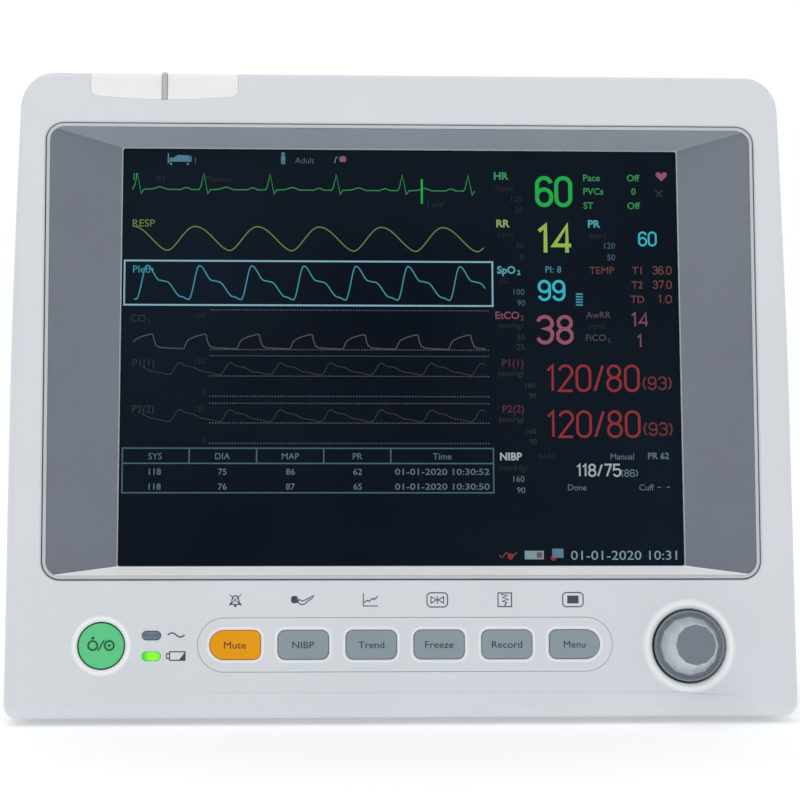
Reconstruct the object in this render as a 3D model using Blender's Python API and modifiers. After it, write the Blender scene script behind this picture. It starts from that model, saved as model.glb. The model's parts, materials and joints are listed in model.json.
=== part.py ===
"""Bedside patient monitor: leaning front bezel, recessed display, key row, knob, alarm lamp,
side connector panel, side recorder, battery bay and folding handle, each piece its own object.

World frame: metres, +Z up, the front faces -Y, origin on the floor under the middle of the box.
Front pieces are built in the panel frame: X right, Y inwards from the front face, Z up the face.
"""

import math

import bmesh
import bpy
from mathutils import Matrix, Vector

# Frame of the object
LEAN = math.radians(8)  # the front face leans back by this much
FRONT_Y = -0.0645  # foot of the front face
BASE_Z = 0.0024  # underside of the housings, held up by the rubber feet
REAR_Y = 0.077
GAP = 0.0003  # between pieces that touch on the real object
SLIDE_GAP = 0.00035  # around keys and doors
WALL = 0.0024  # moulded housings

# Front housing, in the panel frame
FACE_HALF = 0.1427
FACE_HEIGHT = 0.2429
FACE_TOP_RADIUS = 0.0113
FACE_BOTTOM_RADIUS = 0.0017
TOP_ROUND = 0.0022
BOTTOM_ROLL = 0.0059
FLARE = 0.0034  # how far the sides stand out past the face near the base
FLARE_AT_TOP = 0.0008
FLARE_FULL_BELOW = 0.120
PARTING_DEPTH = 0.046
RIM_DEPTH, RIM_INWARD = 0.0032, 0.0040  # the back rim turns in to meet the narrower rear housing

# Rear housing, in the world frame
REAR_HALF = 0.141
REAR_TOP = 0.235
REAR_ROUND = 0.011
REAR_TOP_RADIUS = 0.014
REAR_BOTTOM_RADIUS = 0.004

# Display: a 10.4-inch panel, 211.2 x 158.4 mm, behind a sloped mask
SCREEN_HALF = 0.1058
SCREEN_BOTTOM, SCREEN_TOP = 0.0564, 0.2156
SCREEN_DEPTH = 0.0077
APERTURE_BOTTOM, APERTURE_TOP = 0.0509, 0.2235
APERTURE_HALF_BOTTOM, APERTURE_HALF_TOP = 0.1329, 0.1342
APERTURE_RADIUS = 0.0070
SCREEN_MIDDLE = (SCREEN_BOTTOM + SCREEN_TOP) / 2
DISPLAY_STACK = {  # near depth, far depth, half width, half height
    "lcd_glass": (0.0090, 0.0101, 0.1140, 0.0870),
    "lcd_panel": (0.0104, 0.0160, 0.1180, 0.0884),
    "main_board": (0.0305, 0.0321, 0.1000, 0.0750),
}

# Key row
KEY_NAMES = ("mute", "nibp", "trend", "freeze", "record", "menu")
KEY_HALF_W, KEY_HALF_H, KEY_RADIUS = 0.0092, 0.0052, 0.0026
KEY_PITCH, KEY_ROW_X, KEY_ROW_V = 0.0249, 0.00055, 0.0273
KEY_PROUD = 0.0009
SURROUND_X, SURROUND_HALF, SURROUND_RADIUS = 0.0007, 0.0762, 0.0099
SURROUND_BACK = 0.0040
FLANGE = 0.0012  # keeps keys from falling out of their holes
KEY_BACK = 0.0053
BOARD_NEAR, BOARD_FAR = 0.0065, 0.0081

# Power button, indicators and knob
POWER_X, POWER_V, POWER_RADIUS = -0.1104, 0.0271, 0.0083
POWER_RING, POWER_RING_PROUD = 0.0110, 0.0009
LED_X, LED_HALF_W, LED_HALF_H = -0.0922, 0.00335, 0.00155
LED_V = {"led_mains": 0.0308, "led_battery": 0.0233}
KNOB_X, KNOB_V = 0.1052, 0.0265
KNOB_HOLE, KNOB_SKIRT, KNOB_BASE, KNOB_FACE = 0.0137, 0.0130, 0.01035, 0.0076
KNOB_PROUD, KNOB_SKIRT_PROUD, KNOB_SUNK = 0.0153, 0.0022, 0.0020
KNOB_RIM_INNER, KNOB_RIM_OUTER, KNOB_RIM_PROUD = 0.0151, 0.0174, 0.0006
SHAFT_RADIUS = 0.0030

# Alarm lamp
LAMP_LEFT, LAMP_RIGHT, LAMP_BOTTOM, LAMP_REACH = -0.1175, -0.0620, 0.2323, 0.030
LAMP_SPLIT, DIVIDER_HALF, DIVIDER_PROUD = -0.08965, 0.0010, 0.0007
LAMP_WALL = 0.0022

# Left side: connector bay
BAY_LOW, BAY_HIGH = (-0.1407, 0.013, 0.030), (-0.126, 0.063, 0.186)
TRAY_WALL = 0.0020
BAY_FLOOR = BAY_HIGH[0] - TRAY_WALL
SOCKET_FRONT, SOCKET_BACK = -0.1385, -0.1225
SOCKETS = {  # y, z, barrel radius
    "ecg_socket": (0.038, 0.166, 0.0105),
    "spo2_socket": (0.0265, 0.139, 0.0082),
    "co2_socket": (0.0500, 0.139, 0.0082),
}
SOCKET_PAIRS = {  # z, the two y, barrel radius, bore radius
    "temp_sockets": (0.113, (0.0285, 0.0475), 0.0042, 0.0022),
    "ibp_sockets": (0.087, (0.0275, 0.0485), 0.0068, 0.0046),
}
PAIR_PLATE = 0.0040
NIBP_Y, NIBP_Z, NIBP_RADIUS = 0.038, 0.056, 0.0065

# Right side: recorder and battery bay
RECORDER_LOW, RECORDER_HIGH = (0.094, 0.009, 0.096), (0.1407, 0.065, 0.168)
ROLL_X, ROLL_Z, ROLL_RADIUS, ROLL_CORE = 0.1175, 0.1185, 0.0190, 0.0055
SPINDLE_RADIUS = 0.0030
PLATEN_X, PLATEN_Z, PLATEN_RADIUS, PLATEN_SHAFT = 0.1300, 0.1530, 0.0045, 0.0020
GEAR_MODULE, PLATEN_TEETH, PINION_TEETH = 0.0006, 24, 12
GEAR_NEAR, GEAR_FAR = 0.0030, 0.0070
DOOR_THICK = 0.0024
RECORDER_DOOR_TOP, FASCIA_BOTTOM = 0.1430, 0.1460
RECORDER_HINGE_X, RECORDER_HINGE_Z = 0.1391, 0.1004
HINGE_BARREL, HINGE_PIN = 0.0016, 0.0011
BATTERY_LOW, BATTERY_HIGH = (0.022, -0.007, 0.018), (0.1407, 0.064, 0.052)
BATTERY_HINGE_X, BATTERY_HINGE_Z = 0.1391, 0.0475

# Top and rear
HANDLE_HALF, HANDLE_PIVOT_Y, HANDLE_Z, HANDLE_REACH = 0.078, 0.029, 0.224, 0.066
HANDLE_RADIUS, HANDLE_CORNER, HANDLE_BOSS, TRUNNION = 0.0065, 0.012, 0.0080, 0.0032
POCKET_HALF, POCKET_Y, POCKET_Z = 0.086, 0.020, 0.212
PORT_BAY_LOW, PORT_BAY_HIGH = (-0.116, 0.066, 0.016), (0.004, REAR_Y, 0.052)
SINK_X, SINK_Z = (-0.005, 0.075), (0.110, 0.180)
SPEAKER_X, SPEAKER_Z, SPEAKER_RADIUS = -0.070, 0.150, 0.022
PORT_Z, STUD_X = 0.034, -0.062
INLET_SPAN = ((-0.109, 0.046, 0.0235), (-0.081, 0.0657, 0.0445))
NETWORK_SPAN = ((-0.040, 0.050, 0.0270), (-0.024, 0.0657, 0.0405))

# Underside
FOOT_X, FOOT_HALF, FOOT_RADIUS = 0.100, 0.012, 0.0055
FOOT_YS = {"front": -0.028, "rear": 0.060}
FOOT_SUNK = 0.0012
PLATE_HALF, PLATE_Y, PLATE_SUNK = 0.060, (0.0, 0.060), 0.0022
PLATE_HOLES_X, PLATE_HOLES_Y = 0.050, (0.010, 0.050)

FAR = 0.3  # cutters run past the object by this much
SHORT_EDGE = 0.000005  # edges shorter than this are closed up after the Booleans
FLAT_ANGLE = math.radians(0.05)  # neighbours closer to one plane than this become one face
LOFTED = ("front_housing", "rear_housing", "cutter_hollow")

COLOURS = {  # base colour, roughness, metallic
    "bezel_white": ((0.70, 0.73, 0.76), 0.42, 0.0),
    "rear_white": ((0.66, 0.69, 0.72), 0.48, 0.0),
    "mask_silver": ((0.20, 0.22, 0.26), 0.38, 0.35),
    "glass_black": ((0.006, 0.010, 0.016), 0.08, 0.0),
    "key_grey": ((0.27, 0.33, 0.37), 0.45, 0.0),
    "key_orange": ((0.84, 0.36, 0.01), 0.42, 0.0),
    "button_green": ((0.12, 0.62, 0.26), 0.40, 0.0),
    "knob_grey": ((0.18, 0.21, 0.26), 0.38, 0.0),
    "lamp_cream": ((0.86, 0.84, 0.78), 0.25, 0.0),
    "led_slate": ((0.12, 0.17, 0.24), 0.25, 0.0),
    "led_green": ((0.10, 0.72, 0.02), 0.25, 0.0),
    "socket_blue": ((0.05, 0.12, 0.30), 0.40, 0.0),
    "dark_plastic": ((0.03, 0.03, 0.035), 0.45, 0.0),
    "steel": ((0.55, 0.56, 0.58), 0.30, 1.0),
    "aluminium": ((0.62, 0.63, 0.65), 0.35, 1.0),
    "brass": ((0.60, 0.45, 0.20), 0.30, 1.0),
    "rubber": ((0.02, 0.02, 0.022), 0.80, 0.0),
    "board_green": ((0.02, 0.16, 0.07), 0.50, 0.0),
    "paper": ((0.88, 0.88, 0.86), 0.80, 0.0),
    "battery_grey": ((0.10, 0.11, 0.13), 0.50, 0.0),
}

# How each direction of extrusion maps a flat outline (u, v) and its thickness
ALONG = {
    "X": Matrix(((0, 0, 1), (1, 0, 0), (0, 1, 0))).to_4x4(),  # u is Y, v is Z
    "Y": Matrix(((1, 0, 0), (0, 0, -1), (0, 1, 0))).to_4x4(),  # u is X, v is Z
    "Z": Matrix.Identity(4),  # u is X, v is Y
}
# How a turned piece's own +Z points
TOWARDS = {
    "front": (math.radians(90), 0, 0),
    "rear": (math.radians(-90), 0, 0),
    "left": (0, math.radians(-90), 0),
}


# ---------------------------------------------------------------- scene and object helpers


def clear_scene():
    for obj in list(bpy.data.objects):
        bpy.data.objects.remove(obj, do_unlink=True)


def new_collection(name):
    found = bpy.data.collections.new(name)
    bpy.context.scene.collection.children.link(found)
    return found


def material(name):
    found = bpy.data.materials.get(name)
    if found is None:
        colour, roughness, metallic = COLOURS[name]
        found = bpy.data.materials.new(name)
        found.use_nodes = True
        shader = found.node_tree.nodes["Principled BSDF"]
        shader.inputs["Base Color"].default_value = (*colour, 1.0)
        shader.inputs["Roughness"].default_value = roughness
        shader.inputs["Metallic"].default_value = metallic
        found.diffuse_color = (*colour, 1.0)
    return found


def add(name, mesh, look=None, parent=None, origin=(0, 0, 0)):
    """A piece when it has a look, or else a hidden cutter. The mesh is given in its parent's frame."""
    mesh.transform(Matrix.Translation(-Vector(origin)))
    obj = bpy.data.objects.new(name, mesh)
    obj.location = origin
    obj.parent = parent
    if look:
        PIECES.objects.link(obj)
        mesh.materials.append(material(look))
    else:
        CUTTERS.objects.link(obj)
        obj.hide_render = True
        obj.display_type = "WIRE"
    return obj


def smooth(mesh, angle=35):
    mesh.shade_smooth()
    mesh.set_sharp_from_angle(angle=math.radians(angle))


def mesh_of(name, work):
    bmesh.ops.remove_doubles(work, verts=work.verts, dist=1e-7)
    bmesh.ops.recalc_face_normals(work, faces=work.faces)
    mesh = bpy.data.meshes.new(name)
    work.to_mesh(mesh)
    work.free()
    return mesh


def boxes(name, spans, look=None, parent=None, origin=(0, 0, 0), bevel=0.0):
    """One object of boxes, each given by its low and high corners."""
    work = bmesh.new()
    for low, high in spans:
        low, high = Vector(low), Vector(high)
        place = Matrix.Translation((low + high) / 2) @ Matrix.Diagonal((*(high - low), 1))
        bmesh.ops.create_cube(work, size=1.0, matrix=place)
    obj = add(name, mesh_of(name, work), look, parent, origin)
    if bevel:
        soften(obj, bevel)
    return obj


def soften(obj, width, segments=2):
    modifier = obj.modifiers.new("Edges", "BEVEL")
    modifier.width = width
    modifier.segments = segments
    modifier.limit_method = "ANGLE"
    modifier.angle_limit = math.radians(40)


def rod(name, start, end, radius, look=None, parent=None, sides=16, origin=(0, 0, 0)):
    """A cylinder from start to end."""
    start, end = Vector(start), Vector(end)
    turn = (end - start).to_track_quat("Z", "Y").to_matrix().to_4x4()
    work = bmesh.new()
    bmesh.ops.create_cone(
        work, cap_ends=True, segments=sides, radius1=radius, radius2=radius,
        depth=(end - start).length, matrix=Matrix.Translation((start + end) / 2) @ turn,
    )
    mesh = mesh_of(name, work)
    smooth(mesh)
    return add(name, mesh, look, parent, origin)


def outline(left, right, bottom, top, radii, steps=4):
    """A rounded rectangle, anticlockwise. radii: lower right, upper right, upper left, lower left."""
    corners = (
        (right - radii[0], bottom + radii[0], -90),
        (right - radii[1], top - radii[1], 0),
        (left + radii[2], top - radii[2], 90),
        (left + radii[3], bottom + radii[3], 180),
    )
    points = []
    for (u, v, start), radius in zip(corners, radii):
        for step in range(steps + 1):
            angle = math.radians(start + 90 * step / steps)
            points.append((u + radius * math.cos(angle), v + radius * math.sin(angle)))
    return points


def circle(u, v, radius, sides=24):
    turns = [2 * math.pi * step / sides for step in range(sides)]
    return [(u + radius * math.cos(turn), v + radius * math.sin(turn)) for turn in turns]


def prism(name, points, near, far, look=None, along="Y", parent=None, origin=(0, 0, 0),
          holes=(), bevel=0.0):
    """A flat outline, a filled 2D curve, extruded from near to far along one axis."""
    curve = bpy.data.curves.new(name, "CURVE")
    curve.dimensions = "2D"
    curve.fill_mode = "BOTH"
    curve.extrude = abs(far - near) / 2 - bevel
    curve.bevel_depth = bevel
    curve.bevel_resolution = 0
    curve.offset = -bevel
    for loop in (points, *holes):
        kept = [p for i, p in enumerate(loop) if math.dist(p, loop[i - 1]) > 1e-6]
        spline = curve.splines.new("POLY")
        spline.points.add(len(kept) - 1)
        spline.use_cyclic_u = True
        for point, (u, v) in zip(spline.points, kept):
            point.co = (u, v, 0, 1)
    mesh = converted(curve)
    mesh.transform(ALONG[along])
    middle = (near + far) / 2
    mesh.transform(Matrix.Translation({"X": (middle, 0, 0), "Y": (0, middle, 0), "Z": (0, 0, middle)}[along]))
    smooth(mesh)
    return add(name, mesh, look, parent, origin)


def converted(curve):
    """The mesh of a curve, with its loose caps welded on."""
    helper = bpy.data.objects.new(curve.name, curve)
    bpy.context.scene.collection.objects.link(helper)
    bpy.context.view_layer.update()
    graph = bpy.context.evaluated_depsgraph_get()
    mesh = bpy.data.meshes.new_from_object(helper.evaluated_get(graph))
    bpy.data.objects.remove(helper, do_unlink=True)
    work = bmesh.new()
    work.from_mesh(mesh)
    bmesh.ops.remove_doubles(work, verts=work.verts, dist=1e-6)
    bmesh.ops.recalc_face_normals(work, faces=work.faces)
    work.to_mesh(mesh)
    work.free()
    return mesh


def tube(name, points, radius, look=None, origin=(0, 0, 0)):
    curve = bpy.data.curves.new(name, "CURVE")
    curve.dimensions = "3D"
    curve.bevel_depth = radius
    curve.bevel_resolution = 2
    curve.use_fill_caps = True
    spline = curve.splines.new("POLY")
    spline.points.add(len(points) - 1)
    for point, place in zip(spline.points, points):
        point.co = (*place, 1)
    mesh = converted(curve)
    smooth(mesh)
    return add(name, mesh, look, None, origin)


def turned(name, profile, centre, towards, look=None, parent=None, steps=20, ring=False):
    """A profile of (radius, height), outer side top to bottom, turned about its own Z at centre."""
    mesh = bpy.data.meshes.new(name)
    edges = [(i, i + 1) for i in range(len(profile) - 1)]
    if ring:
        edges.append((len(profile) - 1, 0))
    mesh.from_pydata([(radius, 0, height) for radius, height in profile], edges, [])
    obj = add(name, mesh, look, parent)
    obj.location = centre
    obj.rotation_euler = TOWARDS[towards]
    modifier = obj.modifiers.new("Turn", "SCREW")
    modifier.steps = steps
    modifier.render_steps = steps
    modifier.use_merge_vertices = True
    modifier.merge_threshold = 1e-6
    modifier.use_smooth_shade = True
    return obj


def loft(name, rings, look=None, parent=None, origin=(0, 0, 0), caps=(True, True), loop=False):
    """A skin over rings of equally many points. loop joins the last ring to the first."""
    work = bmesh.new()
    rows = [[work.verts.new(point) for point in ring] for ring in rings]
    count = len(rows[0])
    pairs = list(zip(rows, rows[1:])) + ([(rows[-1], rows[0])] if loop else [])
    for first, second in pairs:
        for i in range(count):
            j = (i + 1) % count
            work.faces.new((first[i], first[j], second[j], second[i]))
    if not loop:
        if caps[0]:
            work.faces.new(reversed(rows[0]))
        if caps[1]:
            work.faces.new(rows[-1])
    mesh = mesh_of(name, work)
    smooth(mesh)
    return add(name, mesh, look, parent, origin)


def combine(obj, other, operation):
    """Boolean on two meshes. EXACT loses the housings' long lofted skins, so those use MANIFOLD."""
    modifier = obj.modifiers.new(operation.title() + "_" + other.name, "BOOLEAN")
    modifier.operation = operation
    modifier.object = other
    modifier.solver = "MANIFOLD" if obj.name in LOFTED else "EXACT"


def cut(obj, *others):
    for other in others:
        combine(obj, other, "DIFFERENCE")


def join(obj, *others):
    for other in others:
        combine(obj, other, "UNION")


def grown(low, high, by):
    return tuple(a - by for a in low), tuple(b + by for b in high)


# ---------------------------------------------------------------- front housing


def flare(v):
    """How far the side stands out past the face: full near the base, almost none at the top."""
    rise = min(max((v - FLARE_FULL_BELOW) / (FACE_HEIGHT - FLARE_FULL_BELOW), 0), 1)
    return FLARE + (FLARE_AT_TOP - FLARE) * rise**1.5


def face_points():
    """Edge of the flat face with its outward direction: arcs at the corners and stops up the sides."""
    side_stops = [0.25, 0.5, 0.7, 0.85]
    edge = FACE_HALF
    bottom, top = BOTTOM_ROLL, FACE_HEIGHT - TOP_ROUND
    corners = (
        (edge - FACE_BOTTOM_RADIUS, bottom + FACE_BOTTOM_RADIUS, FACE_BOTTOM_RADIUS, -90, 3),
        (edge - FACE_TOP_RADIUS, top - FACE_TOP_RADIUS, FACE_TOP_RADIUS, 0, 6),
    )
    right = []
    for u, v, radius, start, steps in corners:
        if right:
            low = right[-1][0][1]
            right += [((edge, low + (v - low) * stop), (1.0, 0.0)) for stop in side_stops]
        for step in range(steps + 1):
            angle = math.radians(start + 90 * step / steps)
            way = (math.cos(angle), math.sin(angle))
            right.append(((u + radius * way[0], v + radius * way[1]), way))
    left = [((-u, v), (-a, b)) for (u, v), (a, b) in reversed(right)]
    return right + left


def front_ring(turn, depth=None, inset=0.0):
    """One ring of the housing: turn runs from 0 on the face to 1 on the side, then depth goes back."""
    angle = turn * math.pi / 2
    ring = []
    for (u, v), (a, b) in face_points():
        below = b * b if b < 0 else 0.0
        above = b * b if b > 0 else 0.0
        reach = flare(v) * a * a + TOP_ROUND * above + BOTTOM_ROLL * below
        back = (0.002 + 1.2 * flare(v)) * a * a + TOP_ROUND * above + BOTTOM_ROLL * below
        went = back * (1 - math.cos(angle)) if depth is None else depth
        out = reach * math.sin(angle) - inset
        ring.append((u + a * out, went, v + b * out + went * math.tan(LEAN) * below))
    return ring


def front_housing():
    turns = (0.0, 0.35, 0.7, 1.0)
    rings = [front_ring(turn) for turn in turns]
    rings += [front_ring(1.0, depth) for depth in (0.012, PARTING_DEPTH)]
    housing = loft("front_housing", rings, "bezel_white", PANEL)
    lip = PARTING_DEPTH - RIM_DEPTH
    inner = ((WALL, WALL + 0.0014), (WALL + 0.0030, WALL), (lip, WALL), (lip + 0.0001, WALL + RIM_INWARD),
             (PARTING_DEPTH + 0.010, WALL + RIM_INWARD))
    cut(housing, loft("cutter_front_hollow", [front_ring(1.0, depth, inset) for depth, inset in inner],
                      parent=PANEL))
    rim = turned(
        "cutter_knob_rim",
        [(KNOB_RIM_INNER, KNOB_RIM_PROUD), (KNOB_RIM_OUTER - 0.0006, KNOB_RIM_PROUD),
         (KNOB_RIM_OUTER, -0.001), (0.0130, -0.001), (0.0130, 0.0002)],
        (KNOB_X, 0, KNOB_V), "front", parent=PANEL, steps=36, ring=True)
    ring = turned(
        "cutter_power_ring",
        [(POWER_RADIUS - 0.001, 0.0004), (POWER_RADIUS + 0.0012, POWER_RING_PROUD),
         (POWER_RING - 0.0010, POWER_RING_PROUD), (POWER_RING, -0.001), (POWER_RADIUS - 0.001, -0.001)],
        (POWER_X, 0, POWER_V), "front", parent=PANEL, steps=32, ring=True)
    join(housing, rim, ring)
    cut(
        housing,
        prism("cutter_aperture", aperture(0.0), -0.01, 0.01, parent=PANEL),
        prism("cutter_surround", surround_outline(0.0), -0.01, 0.01, parent=PANEL),
        rod("cutter_power", (POWER_X, -0.01, POWER_V), (POWER_X, 0.01, POWER_V),
            POWER_RADIUS + SLIDE_GAP, parent=PANEL, sides=32),
        rod("cutter_knob", (KNOB_X, -0.01, KNOB_V), (KNOB_X, 0.01, KNOB_V), KNOB_HOLE,
            parent=PANEL, sides=36),
        boxes("cutter_lamp", [((LAMP_LEFT - GAP, -0.01, LAMP_BOTTOM - GAP),
                               (LAMP_RIGHT + GAP, LAMP_REACH + GAP, FAR))], parent=PANEL),
        foot_cutter("front"),
    )
    for name, v in LED_V.items():
        cut(housing, prism("cutter_" + name, led_outline(v, GAP), -0.01, 0.01, parent=PANEL))
    weld = housing.modifiers.new("short_edges", "WELD")
    weld.merge_threshold = SHORT_EDGE
    flat = housing.modifiers.new("flat_faces", "DECIMATE")
    flat.decimate_type = "DISSOLVE"
    flat.angle_limit = FLAT_ANGLE
    even = housing.modifiers.new("even_triangles", "TRIANGULATE")
    even.ngon_method = "BEAUTY"
    return housing


# ---------------------------------------------------------------- display


def aperture(grow):
    """The display opening, a little wider at its top, with rounded corners."""
    radius = max(APERTURE_RADIUS + grow, 0.001)
    widening = (APERTURE_HALF_TOP - APERTURE_HALF_BOTTOM) / (APERTURE_TOP - APERTURE_BOTTOM)
    shaped = []
    for u, v in outline(-APERTURE_HALF_BOTTOM, APERTURE_HALF_BOTTOM, APERTURE_BOTTOM - grow,
                        APERTURE_TOP + grow, (radius,) * 4, 5):
        half = abs(u) + widening * (v - APERTURE_BOTTOM) + grow
        shaped.append((math.copysign(half, u), v))
    return shaped


def screen(grow):
    return outline(-SCREEN_HALF - grow, SCREEN_HALF + grow, SCREEN_BOTTOM - grow, SCREEN_TOP + grow,
                   (0.0008,) * 4, 5)


def display_mask():
    """Silver frame: a thin lip in the opening, walls that slope in to the screen, a flange behind."""
    lip, flange_near, flange_far = 0.0002, WALL + GAP, 0.0042
    steps = (
        (aperture(-SLIDE_GAP), lip),
        (aperture(-0.0016), lip),
        (screen(0.0), SCREEN_DEPTH),
        (screen(0.0), SCREEN_DEPTH + 0.0010),
        (screen(0.0014), SCREEN_DEPTH + 0.0010),
        (aperture(-0.0030), flange_far),
        (aperture(0.0040), flange_far),
        (aperture(0.0040), flange_near),
        (aperture(-SLIDE_GAP), flange_near),
    )
    rings = [[(u, depth, v) for u, v in shape] for shape, depth in steps]
    return loft("display_mask", rings, "mask_silver", PANEL, loop=True)


def display_stack():
    looks = {"lcd_glass": "glass_black", "lcd_panel": "steel", "main_board": "board_green"}
    for name, (near, far, half_w, half_h) in DISPLAY_STACK.items():
        boxes(name, [((-half_w, near, SCREEN_MIDDLE - half_h), (half_w, far, SCREEN_MIDDLE + half_h))],
              looks[name], PANEL)


def chassis():
    """Sheet frame behind the display, with four posts for the main board."""
    near, far = 0.0240, 0.0255
    half_w, half_h = 0.128, 0.095
    plate = boxes("chassis",
                  [((-half_w, near, SCREEN_MIDDLE - half_h), (half_w, far, SCREEN_MIDDLE + half_h))],
                  "aluminium", PANEL)
    post_x, post_v, post_end = 0.092, 0.066, DISPLAY_STACK["main_board"][0] - GAP
    for number, (x, v) in enumerate((x, v) for x in (-post_x, post_x) for v in (-post_v, post_v)):
        post = rod(f"cutter_post_{number}", (x, far - 0.001, SCREEN_MIDDLE + v),
                   (x, post_end, SCREEN_MIDDLE + v), 0.003, parent=PANEL, sides=12)
        join(plate, post)
    return plate


# ---------------------------------------------------------------- keys, button, indicators, knob


def surround_outline(grow):
    radius = SURROUND_RADIUS + grow
    return outline(SURROUND_X - SURROUND_HALF - grow, SURROUND_X + SURROUND_HALF + grow,
                   KEY_ROW_V - radius, KEY_ROW_V + radius, (radius,) * 4, 5)


def key_outline(index, grow):
    """A key's rounded outline. The first key's left end and the last key's right end are half round."""
    x = KEY_ROW_X + (index - (len(KEY_NAMES) - 1) / 2) * KEY_PITCH
    square, full = KEY_RADIUS + grow, KEY_HALF_H + grow
    right = full if index == len(KEY_NAMES) - 1 else square
    left = full if index == 0 else square
    return outline(x - KEY_HALF_W - grow, x + KEY_HALF_W + grow, KEY_ROW_V - full, KEY_ROW_V + full,
                   (right, right, left, left), 3)


def key_surround():
    face, flange_near = 0.0001, WALL + GAP
    plate = prism("key_surround", surround_outline(-GAP), face, SURROUND_BACK, "bezel_white", parent=PANEL)
    join(plate, prism("cutter_surround_flange", surround_outline(0.0020), flange_near, SURROUND_BACK,
                      parent=PANEL))
    for index, name in enumerate(KEY_NAMES):
        cut(plate, prism("cutter_key_" + name, key_outline(index, SLIDE_GAP), -0.01, 0.01, parent=PANEL))
    return plate


def key(index, name):
    x = KEY_ROW_X + (index - (len(KEY_NAMES) - 1) / 2) * KEY_PITCH
    look = "key_orange" if name == "mute" else "key_grey"
    origin = (x, 0, KEY_ROW_V)
    cap = prism("key_" + name, key_outline(index, 0.0), -KEY_PROUD, KEY_BACK, look, parent=PANEL,
                origin=origin, bevel=0.0004)
    join(cap, prism("cutter_flange_" + name, key_outline(index, FLANGE),
                    SURROUND_BACK + GAP, KEY_BACK - 0.0001,
                    parent=PANEL))
    return cap


def power_button():
    flange_near = SURROUND_BACK + GAP
    turned("power_button", [
        (0, 0.0006), (POWER_RADIUS - 0.0008, 0.0006), (POWER_RADIUS, 0.0001), (POWER_RADIUS, -flange_near),
        (POWER_RADIUS + FLANGE, -flange_near), (POWER_RADIUS + FLANGE, -KEY_BACK), (0, -KEY_BACK),
    ], (POWER_X, 0, POWER_V), "front", "button_green", PANEL, 32)


def led_outline(v, grow):
    return outline(LED_X - LED_HALF_W - grow, LED_X + LED_HALF_W + grow, v - LED_HALF_H - grow,
                   v + LED_HALF_H + grow, (LED_HALF_H + grow,) * 4, 4)


def indicators():
    for name, v in LED_V.items():
        look = "led_green" if name == "led_battery" else "led_slate"
        prism(name, led_outline(v, 0.0), 0.0, BOARD_NEAR - GAP, look, parent=PANEL)


def keypad_board():
    board = prism("keypad_board", outline(-0.124, 0.122, 0.012, 0.042, (0.002,) * 4, 1),
                  BOARD_NEAR, BOARD_FAR,
                  "board_green", parent=PANEL, holes=[circle(KNOB_X, KNOB_V, 0.0045, 20)])
    return board


def knob():
    """Twelve-sided grip on a round skirt, on the shaft of a push encoder."""
    centre = (KNOB_X, 0, KNOB_V)
    grip = turned("knob", [
        (0, KNOB_SKIRT_PROUD + 0.001), (KNOB_BASE, KNOB_SKIRT_PROUD + 0.0008),
        (KNOB_SKIRT - 0.0010, KNOB_SKIRT_PROUD),
        (KNOB_SKIRT, KNOB_SKIRT_PROUD - 0.0010), (KNOB_SKIRT, -KNOB_SUNK), (0, -KNOB_SUNK),
    ], centre, "front", "knob_grey", PANEL, 36)
    sides, foot = 12, 0.0010
    work = bmesh.new()
    length = KNOB_PROUD - foot
    middle = (KNOB_X, -(KNOB_PROUD + foot) / 2, KNOB_V)
    bmesh.ops.create_cone(work, cap_ends=True, segments=sides,
                          radius1=KNOB_BASE, radius2=KNOB_FACE, depth=length,
                          matrix=Matrix.Translation(middle) @ Matrix.Rotation(math.radians(90), 4, "X"))
    cone = add("cutter_knob_grip", mesh_of("knob_grip", work), None, PANEL)
    join(grip, cone)
    shaft_front = -0.0095
    cut(grip, rod("cutter_shaft_bore", (KNOB_X, shaft_front - GAP, KNOB_V), (KNOB_X, 0.01, KNOB_V),
                  SHAFT_RADIUS + GAP, parent=PANEL))
    shaft_back, plunger_back, body_front, body_back = 0.0132, 0.0150, BOARD_FAR + GAP, 0.0160
    rod("encoder_shaft", (KNOB_X, shaft_front, KNOB_V), (KNOB_X, shaft_back, KNOB_V), SHAFT_RADIUS,
        "steel", PANEL, origin=centre)
    rod("encoder_plunger", (KNOB_X, shaft_back + GAP, KNOB_V), (KNOB_X, plunger_back, KNOB_V), 0.0048,
        "dark_plastic", PANEL, origin=centre)
    turned("encoder_body", [
        (SHAFT_RADIUS + 0.0004, -body_front), (0.0075, -body_front),
        (0.0075, -body_back), (0.0052, -body_back),
        (0.0052, -0.0100), (SHAFT_RADIUS + 0.0004, -0.0100),
    ], centre, "front", "steel", PANEL, 16, ring=True)


# ---------------------------------------------------------------- alarm lamp


def lamp_section(grow, wall):
    """Side outline (depth, v) of a lens that covers the face's top strip and folds over the top."""
    top, front, back = FACE_HEIGHT + grow, -grow, LAMP_REACH
    radius = TOP_ROUND + grow
    arc = []
    for step in range(5):
        angle = math.radians(180 - 90 * step / 4)
        arc.append((front + radius + radius * math.cos(angle), top - radius + radius * math.sin(angle)))
    return [(front, LAMP_BOTTOM), *arc, (back, top), (back, top - wall), (front + wall, top - wall),
            (front + wall, LAMP_BOTTOM)]


def alarm_lamp():
    spans = {
        "alarm_lamp_left": (LAMP_LEFT, LAMP_SPLIT - DIVIDER_HALF - GAP, 0.0, "lamp_cream"),
        "alarm_lamp_divider": (LAMP_SPLIT - DIVIDER_HALF, LAMP_SPLIT + DIVIDER_HALF, DIVIDER_PROUD,
                               "bezel_white"),
        "alarm_lamp_right": (LAMP_SPLIT + DIVIDER_HALF + GAP, LAMP_RIGHT, 0.0, "lamp_cream"),
    }
    for name, (left, right, proud, look) in spans.items():
        prism(name, lamp_section(proud, LAMP_WALL + proud), left, right, look, "X", PANEL)


# ---------------------------------------------------------------- rear housing


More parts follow.
